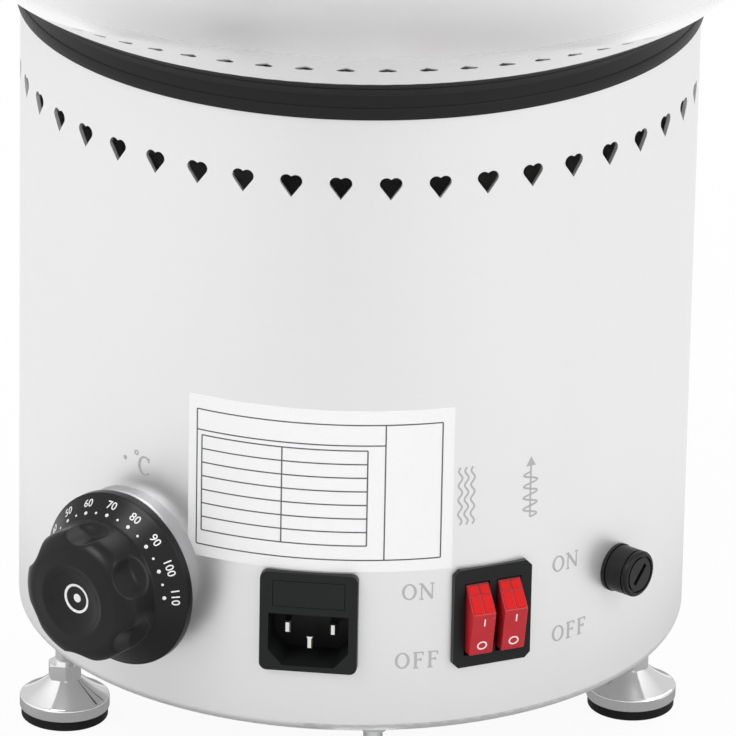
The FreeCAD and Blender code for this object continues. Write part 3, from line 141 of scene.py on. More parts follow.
class Surface:
    """A material under construction: its node tree, its main shader and short ways to add nodes."""

    def __init__(self, name: str) -> None:
        """Start an empty material with a Principled shader.

        Args:
            name: the material's name.
        """
        self.material = bpy.data.materials.new(name)
        self.material.use_nodes = True
        self.tree = self.material.node_tree
        self.shader = self.tree.nodes["Principled BSDF"]

    def add(self, kind: str, settings: Optional[Dict[str, Any]] = None,
            inputs: Optional[Dict[Any, Any]] = None) -> bpy.types.Node:
        """Add one node.

        Args:
            kind: the node's type.
            settings: its own settings, set before the inputs.
            inputs: socket names or numbers, with numbers, vectors, values or sockets.

        Returns:
            The new node.
        """
        node = self.tree.nodes.new(kind)
        for key, item in (settings or {}).items():
            setattr(node, key, item)
        for key, item in (inputs or {}).items():
            if isinstance(item, Value):
                self.tree.links.new(item.socket, node.inputs[key])
            elif isinstance(item, bpy.types.NodeSocket):
                self.tree.links.new(item, node.inputs[key])
            else:
                node.inputs[key].default_value = item
        return node

    def value(self, socket: bpy.types.NodeSocket) -> Value:
        """A socket as a value."""
        return Value(self.tree, socket)

    def position(self) -> Tuple[Value, Value, Value]:
        """Find the point on the surface.

        Returns:
            Its coordinates in the part's own frame, in metres.
        """
        where = self.add("ShaderNodeTexCoord").outputs["Object"]
        parts = self.add("ShaderNodeSeparateXYZ", inputs={0: where})
        return self.value(parts.outputs[0]), self.value(parts.outputs[1]), self.value(parts.outputs[2])

    def from_axis(self) -> Value:
        """Distance from the fountain's centre line, in metres."""
        x, y, _ = self.position()
        return (x * x + y * y) ** 0.5

    def upwards(self) -> Value:
        """How far the surface faces up, from -1 to 1."""
        facing = self.add("ShaderNodeNewGeometry").outputs["Normal"]
        return self.value(self.add("ShaderNodeSeparateXYZ", inputs={0: facing}).outputs[2])

    def noise(self, scale: float, detail: float = 2.0,
              stretch: Tuple[float, float, float] = (1, 1, 1)) -> Value:
        """Cloudy noise in the part's own frame.

        Args:
            scale: how many clouds fit in a metre.
            detail: how many finer layers it has.
            stretch: factors along the axes, finer where they are larger.

        Returns:
            The noise, from 0 to 1.
        """
        where = self.add("ShaderNodeTexCoord").outputs["Object"]
        stretched = self.add("ShaderNodeVectorMath", {"operation": "MULTIPLY"}, {0: where, 1: stretch})
        noise = self.add("ShaderNodeTexNoise",
                         inputs={"Vector": stretched.outputs[0], "Scale": scale, "Detail": detail})
        return self.value(noise.outputs[0])

    def rings(self, scale: float) -> Value:
        """Noise that changes only with the distance from the centre line and the height.

        Args:
            scale: how many rings fit in a metre.

        Returns:
            The noise, from 0 to 1.
        """
        x, y, z = self.position()
        radius = (x * x + y * y) ** 0.5
        where = self.add("ShaderNodeCombineXYZ", inputs={0: radius, 1: z}).outputs[0]
        noise = self.add("ShaderNodeTexNoise", inputs={"Vector": where, "Scale": scale, "Detail": 3.0})
        return self.value(noise.outputs[0])

    def tint(self, dark: Colour, light: Colour, factor: Value) -> bpy.types.NodeSocket:
        """Blend two colours.

        Args:
            dark: the colour at factor 0.
            light: the colour at factor 1.
            factor: how far the blend has gone.

        Returns:
            The blended colour's socket.
        """
        mix = self.add("ShaderNodeMix", {"data_type": "RGBA"},
                       {0: factor, 6: (*dark, 1.0), 7: (*light, 1.0)})
        return mix.outputs[2]

    def set(self, **sockets: Any) -> None:
        """Set or link sockets of the main shader.

        Args:
            sockets: numbers, colours, values or sockets, named with underscores for spaces.
        """
        for key, item in sockets.items():
            socket = self.shader.inputs[key.replace("_", " ")]
            if isinstance(item, Value):
                self.tree.links.new(item.socket, socket)
            elif isinstance(item, bpy.types.NodeSocket):
                self.tree.links.new(item, socket)
            else:
                socket.default_value = item

    def bump(self, height: Value, strength: float, distance: float) -> None:
        """Feed a height into the main shader's normal.

        Args:
            height: the height, from 0 to 1.
            strength: how strongly it shows.
            distance: the height at 1, in metres.
        """
        node = self.add("ShaderNodeBump",
                        inputs={"Strength": strength, "Distance": distance, "Height": height})
        self.tree.links.new(node.outputs[0], self.shader.inputs["Normal"])


class Grain(Enum):
    """How the marks of working lie on a metal."""

    BRUSHED_ROUND = "brushed round the base"
    SPUN = "turned about the centre line"
    CAST = "cast or plated"


def scaled(colour: Colour, share: float) -> Colour:
    """A colour made darker or lighter by a share."""
    return tuple(min(1.0, part * share) for part in colour)


@dataclass(frozen=True)
class Metal:
    """Bare or plated metal with the marks of its making."""

    name: str
    colour: Colour
    roughness: float
    grain: Grain
    marks: float = 0.04
    relief: float = 0.05
    bare: float = 1.0

    def make(self) -> bpy.types.Material:
        """Build the material.

        Returns:
            The finished material.
        """
        surface = Surface(self.name)
        if self.grain is Grain.BRUSHED_ROUND:
            fine = surface.noise(6.0, 3.0, (1.0, 1.0, 420.0))
        elif self.grain is Grain.SPUN:
            fine = surface.rings(900.0)
        else:
            fine = surface.noise(900.0, 4.0)
        cloud = surface.noise(14.0, 3.0)
        factor = (fine * 0.45 + cloud * 0.55).clamped()
        surface.set(Metallic=self.bare,
                    Base_Color=surface.tint(scaled(self.colour, 0.955), self.colour, factor),
                    Roughness=(self.roughness - 0.5 * self.marks) + self.marks * factor)
        surface.bump(fine, self.relief, 0.00004)
        return surface.material


@dataclass(frozen=True)
class BowlSteel:
    """Steel of the bowl: finely spun, but mirror bright underneath where it meets the rim ring."""

    name: str
    colour: Colour
    bright: float = 0.02
    spun: float = 0.30
    bright_to: float = 0.1265
    fade: float = 0.007
    haze: float = 0.40

    def make(self) -> bpy.types.Material:
        """Build the material.

        Returns:
            The finished material.
        """
        surface = Surface(self.name)
        outwards = ((surface.from_axis() - self.bright_to) / self.fade).clamped()
        upper = (surface.upwards() * 20.0 + 0.5).clamped()
        dull = outwards.maths("MAXIMUM", upper)
        fine = surface.rings(900.0)
        cloud = surface.noise(14.0, 3.0)
        surface.set(Metallic=1.0 - self.haze * outwards * (1.0 - upper),
                    Base_Color=surface.tint(scaled(self.colour, 0.96), self.colour, cloud),
                    Roughness=self.bright + (self.spun - self.bright) * dull + 0.02 * fine)
        return surface.material


@dataclass(frozen=True)
class Moulding:
    """Moulded plastic or rubber with a fine skin."""

    name: str
    colour: Colour
    roughness: float
    skin_scale: float = 2600.0
    relief: float = 0.16
    gloss: float = 0.0
    shine: float = 0.22

    def make(self) -> bpy.types.Material:
        """Build the material.

        Returns:
            The finished material.
        """
        surface = Surface(self.name)
        skin = surface.noise(self.skin_scale, 2.0)
        handling = surface.noise(70.0, 4.0)
        dark, light = scaled(self.colour, 0.86), scaled(self.colour, 1.12)
        surface.set(Base_Color=surface.tint(dark, light, handling),
                    Roughness=(self.roughness - 0.05) + 0.10 * handling,
                    Specular_IOR_Level=self.shine, Coat_Weight=self.gloss, Coat_Roughness=0.12)
        surface.bump(skin, self.relief, 0.00003)
        return surface.material


@dataclass(frozen=True)
class LampRed:
    """Red plastic of a rocker, painted darker where it goes down into the frame as painted shade, with a
    faint emission as painted glow.
    """

    name: str
    colour: Colour
    glow: float
    dark_at: float = 0.1065
    full_at: float = 0.1105
    shine: float = 0.30

    def make(self) -> bpy.types.Material:
        """Build the material.

        Returns:
            The finished material.
        """
        surface = Surface(self.name)
        cloud = surface.noise(260.0, 2.0)
        # painted shade: the red darkens towards the frame, where the rocker's sides sit in shade
        proud = ((surface.from_axis() - self.dark_at) / (self.full_at - self.dark_at)).clamped()
        tone = surface.tint(scaled(self.colour, 0.22), self.colour, proud * (0.85 + 0.15 * cloud))
        # the emission is a painted glow that stands in for light falling on the red
        surface.set(Base_Color=tone, Roughness=0.22 + 0.08 * cloud, Specular_IOR_Level=self.shine,
                    Emission_Color=tone, Emission_Strength=self.glow)
        return surface.material


@dataclass(frozen=True)
class Glass:
    """Clear tube glass."""

    name: str

    def make(self) -> bpy.types.Material:
        """Build the material.

        Returns:
            The finished material.
        """
        surface = Surface(self.name)
        haze = surface.noise(120.0, 2.0)
        surface.set(Base_Color=surface.tint((0.86, 0.90, 0.89), (0.97, 0.98, 0.98), haze),
                    Roughness=0.03 + 0.04 * haze, Transmission_Weight=0.85, IOR=1.5)
        return surface.material


@dataclass(frozen=True)
class Paper:
    """Matt coated sticker or flat ink."""

    name: str
    colour: Colour
    roughness: float = 0.5

    def make(self) -> bpy.types.Material:
        """Build the material.

        Returns:
            The finished material.
        """
        surface = Surface(self.name)
        fibre = surface.noise(1500.0, 3.0)
        surface.set(Base_Color=surface.tint(scaled(self.colour, 0.95), self.colour, fibre),
                    Roughness=(self.roughness - 0.05) + 0.1 * fibre)
        surface.bump(fibre, 0.08, 0.00002)
        return surface.material


FINISHES = {
    "shell_steel": Metal("shell_steel", (0.87, 0.87, 0.87), 0.42, Grain.BRUSHED_ROUND, 0.02, 0.006, 0.70),
    "polished_steel": Metal("polished_steel", (0.64, 0.64, 0.65), 0.16, Grain.SPUN, 0.08, 0.04),
    "bowl_steel": BowlSteel("bowl_steel", (0.93, 0.93, 0.93)),
    "chrome": Metal("chrome", (0.98, 0.98, 0.98), 0.05, Grain.CAST, 0.02, 0.01, 0.88),
    "zinc_steel": Metal("zinc_steel", (0.66, 0.67, 0.68), 0.36, Grain.CAST, 0.08, 0.05),
    "satin_grey": Metal("satin_grey", (0.48, 0.48, 0.49), 0.46, Grain.CAST, 0.06, 0.05),
    "nickel_blade": Metal("nickel_blade", (0.86, 0.85, 0.82), 0.18, Grain.CAST),
    "copper": Metal("copper", (0.80, 0.46, 0.30), 0.25, Grain.CAST),
    "cast_alloy": Metal("cast_alloy", (0.62, 0.63, 0.64), 0.45, Grain.CAST, 0.08, 0.4),
    "black_rubber": Moulding("black_rubber", (0.012, 0.012, 0.013), 0.45, 1800.0, 0.2),
    "black_plastic": Moulding("black_plastic", (0.010, 0.010, 0.011), 0.30, 2600.0, 0.12),
    "charcoal_plastic": Moulding("charcoal_plastic", (0.013, 0.014, 0.014), 0.36, 2600.0, 0.10, 0.0, 0.18),
    "motor_paint": Moulding("motor_paint", (0.05, 0.05, 0.055), 0.40, 1200.0, 0.2),
    "mica_grey": Moulding("mica_grey", (0.50, 0.47, 0.40), 0.60, 500.0, 0.4),
    "natural_nylon": Moulding("natural_nylon", (0.80, 0.79, 0.74), 0.45),
    # the rockers' reds are painted darker towards the frame as painted shade and given a painted glow; the
    # lens has the stronger glow
    "red_plastic": LampRed("red_plastic", (0.52, 0.020, 0.030), 0.04),
    "red_lens": LampRed("red_lens", (0.60, 0.002, 0.003), 0.20, 0.1020, 0.1075, 0.12),
    "fuse_glass": Glass("fuse_glass"),
    "label_paper": Paper("label_paper", (0.93, 0.93, 0.93)),
    "rule_ink": Paper("rule_ink", (0.09, 0.09, 0.10)),
    "grey_ink": Paper("grey_ink", (0.47, 0.47, 0.48)),
    "white_ink": Paper("white_ink", (0.86, 0.86, 0.86)),
}
NO_SLOT = ("red_lens", "label_paper", "rule_ink", "grey_ink", "white_ink")


class Workshop:
    """Keeps the made finishes and dresses nodes and new pieces with them."""

    def __init__(self, frame: Dict[str, Any]) -> None:
        """Take the loaded frame."""
        self.nodes = frame["nodes"]
        self.made: Dict[str, bpy.types.Material] = {}

    def finish(self, name: str) -> bpy.types.Material:
        """Find a finish's material, or make it the first time it is asked for.

        Args:
            name: the finish's name in FINISHES.

        Returns:
            Its material.
        """
        if name not in self.made:
            self.made[name] = FINISHES[name].make()
        return self.made[name]

    def dress(self, finish: str, *nodes: str) -> None:
        """Give CAD nodes a finish.

        Args:
            finish: the finish's name.
            nodes: the nodes' names.
        """
        for node in nodes:
            data = self.nodes[node].data
            if not data.materials:
                data.materials.append(None)
            for index in range(len(data.materials)):
                data.materials[index] = self.finish(finish)
            LOG.info("dressed %s with %s", node, finish)

    def place(self, piece: bpy.types.Object, body: str, finish: str,
              slot: Optional[str] = None) -> bpy.types.Object:
        """Finish a new piece and let it ride on a body.

        Args:
            piece: the new object, in place.
            body: the body that it moves with.
            finish: the finish of its whole surface.
            slot: the record's slot, where it isn't the finish's own name; not used.

        Returns:
            The piece.
        """
        piece.data.materials.append(self.finish(finish))
        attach(piece, body)
        if slot or finish not in NO_SLOT:
            slot or finish
        LOG.info("made %s on %s", piece.name, body)
        return piece


class Draft:
    """Vertices and faces collected for one mesh."""

    def __init__(self) -> None:
        """Start empty."""
        self.vertices: List[Vector] = []
        self.faces: List[Tuple[int, ...]] = []

    def grid(self, rows: Sequence[Sequence[Vector]], wrap: bool = False) -> None:
        """Add quads between rows of points.

        Args:
            rows: rows with the same number of points.
            wrap: join each row's last point to its first.
        """
        first = len(self.vertices)
        width = len(rows[0])
        for row in rows:
            self.vertices.extend(row)
        for i in range(len(rows) - 1):
            for j in range(width if wrap else width - 1):
                a = first + i * width + j
                b = first + i * width + (j + 1) % width
                self.faces.append((a, b, b + width, a + width))

    def tube(self, rings: Sequence[Sequence[Vector]]) -> None:
        """Add a closed body through rings of points, with a flat cap at each end.

        Args:
            rings: rings with the same number of points.
        """
        first = len(self.vertices)
        self.grid(rings, wrap=True)
        width = len(rings[0])
        last = first + (len(rings) - 1) * width
        self.faces.append(tuple(first + j for j in reversed(range(width))))
        self.faces.append(tuple(last + j for j in range(width)))

    def slab(self, place: Place, across: Point2, up: Point2, out: Point2, steps: int = 1) -> None:
        """Add a closed block.

        Args:
            place: the bent frame that it lies in.
            across: its ends along the frame's first direction.
            up: its ends along the second.
            out: the heights of its underside and its face.
            steps: how many parts its first direction is divided into.
        """
        rings = []
        for i in range(steps + 1):
            u = across[0] + (across[1] - across[0]) * i / steps
            rings.append([place(u, up[0], out[0]), place(u, up[1], out[0]), place(u, up[1], out[1]),
                          place(u, up[0], out[1])])
        self.tube(rings)

    def ribbon(self, place: Place, line: Sequence[Point2], widths: Sequence[float], out: Point2,
               closed: bool = False) -> None:
        """Flat stroke along a line, with a width at each point.

        Args:
            place: the bent frame that it lies in.
            line: the centre line's points.
            widths: the full width at each point.
            out: the heights of its underside and its face.
            closed: join the last point to the first.
        """
        rings = []
        count = len(line)
        for i in range(count):
            before = line[(i - 1) % count] if closed or i > 0 else line[i]
            after = line[(i + 1) % count] if closed or i < count - 1 else line[i]
            along = Vector((after[0] - before[0], after[1] - before[1]))
            along.normalize()
            side = Vector((-along.y, along.x)) * (widths[i] / 2)
            left = (line[i][0] + side.x, line[i][1] + side.y)
            right = (line[i][0] - side.x, line[i][1] - side.y)
            rings.append([place(*left, out[0]), place(*right, out[0]),
                          place(*right, out[1]), place(*left, out[1])])
        if closed:
            self.grid(rings + rings[:1], wrap=True)
        else:
            self.tube(rings)

    def button(self, place: Place, centre: Point2, radius: float, height: float, sides: int = 20) -> None:
        """Add a low domed dot.

        Args:
            place: the frame that it lies in.
            centre: its middle in that frame.
            radius: its radius.
            height: how far its middle stands up.
            sides: how many sides it has.
        """
        rings = []
        for share, lift in ((1.0, 0.0), (0.93, 0.55), (0.72, 0.85), (0.35, 1.0)):
            rings.append([place(centre[0] + radius * share * math.cos(2 * math.pi * j / sides),
                                centre[1] + radius * share * math.sin(2 * math.pi * j / sides), height * lift)
                          for j in range(sides)])
        self.tube(rings)

    def make(self, name: str, sharp: float = 35.0) -> bpy.types.Object:
        """Turn the draft into an object.

        Args:
            name: the object's name.
            sharp: edges that bend by more than this many degrees stay sharp.

        Returns:
            The linked object.
        """
        mesh = bpy.data.meshes.new(name)
        mesh.from_pydata([tuple(v) for v in self.vertices], [], self.faces)
        mesh.validate()
        piece = bpy.data.objects.new(name, mesh)
        bpy.context.scene.collection.objects.link(piece)
        tidy_mesh(mesh)
        mesh.shade_smooth()
        mesh.set_sharp_from_angle(angle=math.radians(sharp))
        return piece


def tidy_mesh(mesh: bpy.types.Mesh) -> None:
    """Merge doubled points and turn all faces outwards.

    Args:
        mesh: the mesh, changed in place.
    """
    work = bmesh.new()
    work.from_mesh(mesh)
    bmesh.ops.remove_doubles(work, verts=work.verts, dist=1e-7)
    bmesh.ops.recalc_face_normals(work, faces=work.faces)
    work.to_mesh(mesh)
    work.free()


def arc_points(centre: Point2, radius: float, start: float, end: float, steps: int) -> List[Point2]:
    """Points on an arc.

    Args:
        centre: the arc's centre.
        radius: its radius.
        start: the angle where it begins, in degrees.
        end: the angle where it ends.
        steps: how many parts it is divided into.

    Returns:
        The points, with both ends.
    """
    return [(centre[0] + radius * math.cos(math.radians(start + (end - start) * i / steps)),
             centre[1] + radius * math.sin(math.radians(start + (end - start) * i / steps)))
            for i in range(steps + 1)]


def smooth_step(x: float) -> float:
    """Soft step from 0 to 1."""
    x = max(0.0, min(1.0, x))
    return x * x * (3 - 2 * x)


def smooth_min(a: float, b: float, blend: float) -> float:
    """The smaller of two numbers, with a soft change between them."""
    h = max(0.0, min(1.0, 0.5 + 0.5 * (b - a) / blend))
    return b * (1 - h) + a * h - blend * h * (1 - h)


@dataclass
class Panel:
    """The outer face of the round shell, as a place to put things."""

    radius: float = 105.0

    def wrap(self, azimuth: float, height: float) -> Place:
        """Frame bent round the shell.

        Args:
            azimuth: degrees round the base to the frame's point.
            height: its height over the floor.

        Returns:
            A function of the distances to the right, up and out from the face.
        """

        def place(u: float, v: float, w: float) -> Vector:
            """Point of the bent frame, in metres."""
            angle = math.radians(azimuth) + u / self.radius
            reach = (self.radius + w) * MM
            return Vector((reach * math.sin(angle), -reach * math.cos(angle), (height + v) * MM))

        return place

    def flat(self, azimuth: float, height: float) -> Place:
        """Straight frame that touches the shell at a point.

        Args:
            azimuth: degrees round the base to the point.
            height: its height over the floor.

        Returns:
            A function of the distances to the right, up and out.
        """
        angle = math.radians(azimuth)

        def place(u: float, v: float, w: float) -> Vector:
            """Point of the straight frame, in metres."""
            reach = self.radius + w
            return Vector(((u * math.cos(angle) + reach * math.sin(angle)) * MM,
                           (u * math.sin(angle) - reach * math.cos(angle)) * MM, (height + v) * MM))

        return place


@dataclass
class PhotoCamera:
    """Long lens, looking down at the front of the base."""

    distance: float = 2.520
    height: float = 1.1753
    azimuth: float = 6.8
    pitch: float = 0.3973
    yaw: float = 0.0017
    roll: float = 0.0185
    focal_pixels: float = 8709.86
    frame_pixels: float = 736.0
    sensor: float = 36.0

    def make(self) -> bpy.types.Object:
        """Create the camera and make it the scene's own.

        Returns:
            The camera.
        """
        data = bpy.data.cameras.new("photo_camera")
        data.sensor_width = self.sensor
        data.lens = self.focal_pixels / self.frame_pixels * self.sensor
        data.clip_start = 0.05
        data.clip_end = 50.0
        camera = bpy.data.objects.new("photo_camera", data)
        bpy.context.scene.collection.objects.link(camera)
        turn = Matrix.Rotation(math.radians(self.azimuth), 3, "Z")
        forward = turn @ Vector((math.sin(self.yaw) * math.cos(self.pitch),
                                 math.cos(self.yaw) * math.cos(self.pitch), -math.sin(self.pitch)))
        right = forward.cross(Vector((0, 0, 1))).normalized()
        up = right.cross(forward).normalized()
        right_rolled = right * math.cos(self.roll) + up * math.sin(self.roll)
        up_rolled = up * math.cos(self.roll) - right * math.sin(self.roll)
        facing = Matrix((right_rolled, up_rolled, -forward)).transposed()
        angle = math.radians(self.azimuth)
        stand = Vector((self.distance * math.sin(angle), -self.distance * math.cos(angle), self.height))
        camera.matrix_world = Matrix.Translation(stand) @ facing.to_4x4()
        bpy.context.scene.camera = camera
        return camera


@dataclass
class Studio:
    """White floor, white surroundings and soft lamps."""

    floor_half: float = 6.0
    floor_white: float = 0.93
    # where and how strongly the floor's painted shade shows in reflections
    dark_from: float = 0.11
    dark_fade: float = 0.14
    under_dark: float = 0.70
    ahead_dark: float = 0.24
    behind_dark: float = 1.0
    ambient: float = 0.62
    key_watts: float = 26.0
    fill_watts: float = 12.0

    def floor(self) -> None:
        """Pale floor that stays white to the eye and still takes a shadow; in reflections it shows painted
        shade near the base and in front of the fountain.
        """
        draft = Draft()
        half = self.floor_half
        draft.grid([[Vector((-half, -half, 0)), Vector((half, -half, 0))],
                    [Vector((-half, half, 0)), Vector((half, half, 0))]])
        floor = draft.make("floor")
        surface = Surface("floor_white")
        x, y, _ = surface.position()
        beside = ((x * x) ** 0.5 * 1.6).clamped()
        ahead = ((0.0 - y) * 1.5).clamped() * (1.0 - beside)
        reach = (x * x + y * y) ** 0.5
        under = 1.0 - ((reach - self.dark_from) / self.dark_fade).clamped()
        # painted shade: the floor's own colour is darker in front of the fountain
        surface.set(Base_Color=surface.tint((0.92, 0.92, 0.92), (0.75, 0.75, 0.75), ahead), Roughness=0.9)
        path = surface.add("ShaderNodeLightPath")
        mirrored = (surface.value(path.outputs["Is Glossy Ray"])
                    + surface.value(path.outputs["Is Transmission Ray"])).clamped()
        seen = surface.value(path.outputs["Is Camera Ray"]) * self.floor_white
        # painted shade in reflections: glossy rays see the floor darker near the base and in front of the
        # fountain
        shade = (ahead * self.ahead_dark + under * self.under_dark).clamped() * mirrored
        glow_colour = surface.tint((1.0, 1.0, 1.0), (0.0, 0.0, 0.0), shade)
        glow = surface.add("ShaderNodeEmission", inputs={"Color": glow_colour, "Strength": 1.0})
        mix = surface.add("ShaderNodeMixShader", inputs={0: (seen + mirrored).clamped(),
                                                         1: surface.shader.outputs[0], 2: glow.outputs[0]})
        surface.tree.links.new(mix.outputs[0], surface.tree.nodes["Material Output"].inputs[0])
        floor.data.materials.append(surface.material)

    def surroundings(self) -> None:
        """World that is white to the eye, a plain light, and greyer behind the fountain in reflections."""
        world = bpy.data.worlds.new("studio")
        bpy.context.scene.world = world
        world.use_nodes = True
        tree = world.node_tree
        path = tree.nodes.new("ShaderNodeLightPath")
        background = tree.nodes["Background"]
        parts = tree.nodes.new("ShaderNodeSeparateXYZ")
        tree.links.new(tree.nodes.new("ShaderNodeTexCoord").outputs["Generated"], parts.inputs[0])
        behind = (Value(tree, parts.outputs[1]) * 1.6).clamped()
        mirrored = Value(tree, path.outputs["Is Glossy Ray"]) * (1.0 - behind * self.behind_dark)
        seen = (Value(tree, path.outputs["Is Camera Ray"]) + mirrored
                + Value(tree, path.outputs["Is Transmission Ray"])).clamped()
        strength = seen * (1.0 - self.ambient) + self.ambient
        background.inputs["Color"].default_value = (1, 1, 1, 1)
        tree.links.new(strength.socket, background.inputs["Strength"])

    def lamp(self, name: str, place: Vector, size: float, watts: float) -> None:
        """Add a soft square lamp that faces the middle of the fountain.

        Args:
            name: the lamp's name.
            place: where it hangs, in metres.
            size: the length of its side, in metres.
            watts: its power.
        """
        data = bpy.data.lights.new(name, "AREA")
        data.size = size
        data.energy = watts
        lamp = bpy.data.objects.new(name, data)
        bpy.context.scene.collection.objects.link(lamp)
        lamp.location = place
        lamp.rotation_euler = (Vector((0, 0, 0.25)) - place).to_track_quat("-Z", "Y").to_euler()

    def make(self) -> None:
        """Build the stage and the lamps."""
        self.floor()
        self.surroundings()
        self.lamp("key_lamp", Vector((-1.3, -1.5, 2.0)), 1.2, self.key_watts)
        self.lamp("fill_lamp", Vector((1.7, -1.0, 1.3)), 1.2, self.fill_watts)
        self.lamp("back_lamp", Vector((0.4, 1.8, 1.9)), 1.4, self.fill_watts)


class Lettering:
    """Serif capitals and plain signs drawn as flat strokes, one unit high."""

    THIN = 0.09
    THICK = 0.17
    GAP = 0.17
    WIDTHS = {"O": 0.84, "N": 0.92, "F": 0.70, "C": 0.74}

    def __init__(self, draft: Draft, place: Place, height: float, out: Point2) -> None:
        """Take what the letters are drawn with.

        Args:
            draft: the draft that they go into.
            place: the frame that they stand in.
            height: the height of a capital, in millimetres.
            out: the heights of a stroke's back and face.
        """
        self.draft = draft
        self.place = place
        self.height = height
        self.out = out

    def stroke(self, origin: Point2, line: Sequence[Point2], weight: Union[float, Sequence[float]],
               closed: bool = False) -> None:
        """Draw one stroke.

        Args:
            origin: the letter's left foot, in millimetres.
            line: the stroke's points, in letter units.
            weight: its width, or its width at each point, in letter units.
            closed: join the last point to the first.
        """
        weights = [weight] * len(line) if isinstance(weight, float) else list(weight)
        points = [(origin[0] + x * self.height, origin[1] + y * self.height) for x, y in line]
        self.draft.ribbon(self.place, points, [w * self.height for w in weights], self.out, closed)

    def round(self, origin: Point2, centre: Point2, radii: Point2, start: float, end: float) -> None:
        """Draw a round stroke that is thick at its sides and thin above and below.

        Args:
            origin: the letter's left foot, in millimetres.
            centre: the middle of the round, in letter units.
            radii: its half width and half height.
            start: the angle where it begins, in degrees.
            end: the angle where it ends; a whole turn closes it.
        """
        steps = 36
        whole = abs(end - start) >= 360
        line, weights = [], []
        for i in range(steps if whole else steps + 1):
            angle = math.radians(start + (end - start) * i / steps)
            line.append((centre[0] + radii[0] * math.cos(angle), centre[1] + radii[1] * math.sin(angle)))
            weights.append(self.THIN + (self.THICK - self.THIN) * abs(math.cos(angle)) ** 1.5)
        self.stroke(origin, line, weights, closed=whole)

    def letter(self, name: str, origin: Point2) -> None:
        """Draw one capital.

        Args:
            name: the letter.
            origin: its left foot, in millimetres.
        """
        if name == "O":
            self.round(origin, (0.42, 0.5), (0.36, 0.47), 0, 360)
        elif name == "C":
            self.round(origin, (0.40, 0.5), (0.34, 0.47), 48, 318)
            self.stroke(origin, [(0.64, 0.72), (0.66, 0.95)], self.THIN)
        elif name == "N":
            self.stroke(origin, [(0.14, 0.0), (0.14, 1.0)], self.THIN)
            self.stroke(origin, [(0.78, 0.0), (0.78, 1.0)], self.THIN)
            self.stroke(origin, [(0.12, 0.98), (0.79, 0.02)], self.THICK)
            for x, y in ((0.14, 0.0), (0.09, 0.98), (0.78, 0.98)):
                self.stroke(origin, [(x - 0.12, y), (x + 0.12, y)], self.THIN)
        elif name == "F":
            self.stroke(origin, [(0.20, 0.0), (0.20, 1.0)], self.THICK)
            self.stroke(origin, [(0.06, 0.0), (0.36, 0.0)], self.THIN)
            self.stroke(origin, [(0.06, 0.98), (0.64, 0.98)], self.THIN)
            self.stroke(origin, [(0.64, 1.0), (0.64, 0.80)], self.THIN)
            self.stroke(origin, [(0.20, 0.52), (0.52, 0.52)], self.THIN)
            self.stroke(origin, [(0.52, 0.62), (0.52, 0.42)], self.THIN)

    def word(self, text: str) -> None:
        """Draw a word centred on the frame's point.

        Args:
            text: capitals that WIDTHS lists.
        """
        total = sum(self.WIDTHS[c] for c in text) + self.GAP * (len(text) - 1)
        x = -total * self.height / 2
        for character in text:
            self.letter(character, (x, -self.height / 2))
            x += (self.WIDTHS[character] + self.GAP) * self.height

    def degree(self, x: float, y: float, radius: float) -> None:
        """Small ring of the degree sign, in letter units from the frame's point."""
        line = arc_points((x, y), radius, 0, 360, 20)[:-1]
        self.stroke((0.0, 0.0), line, self.THIN, closed=True)


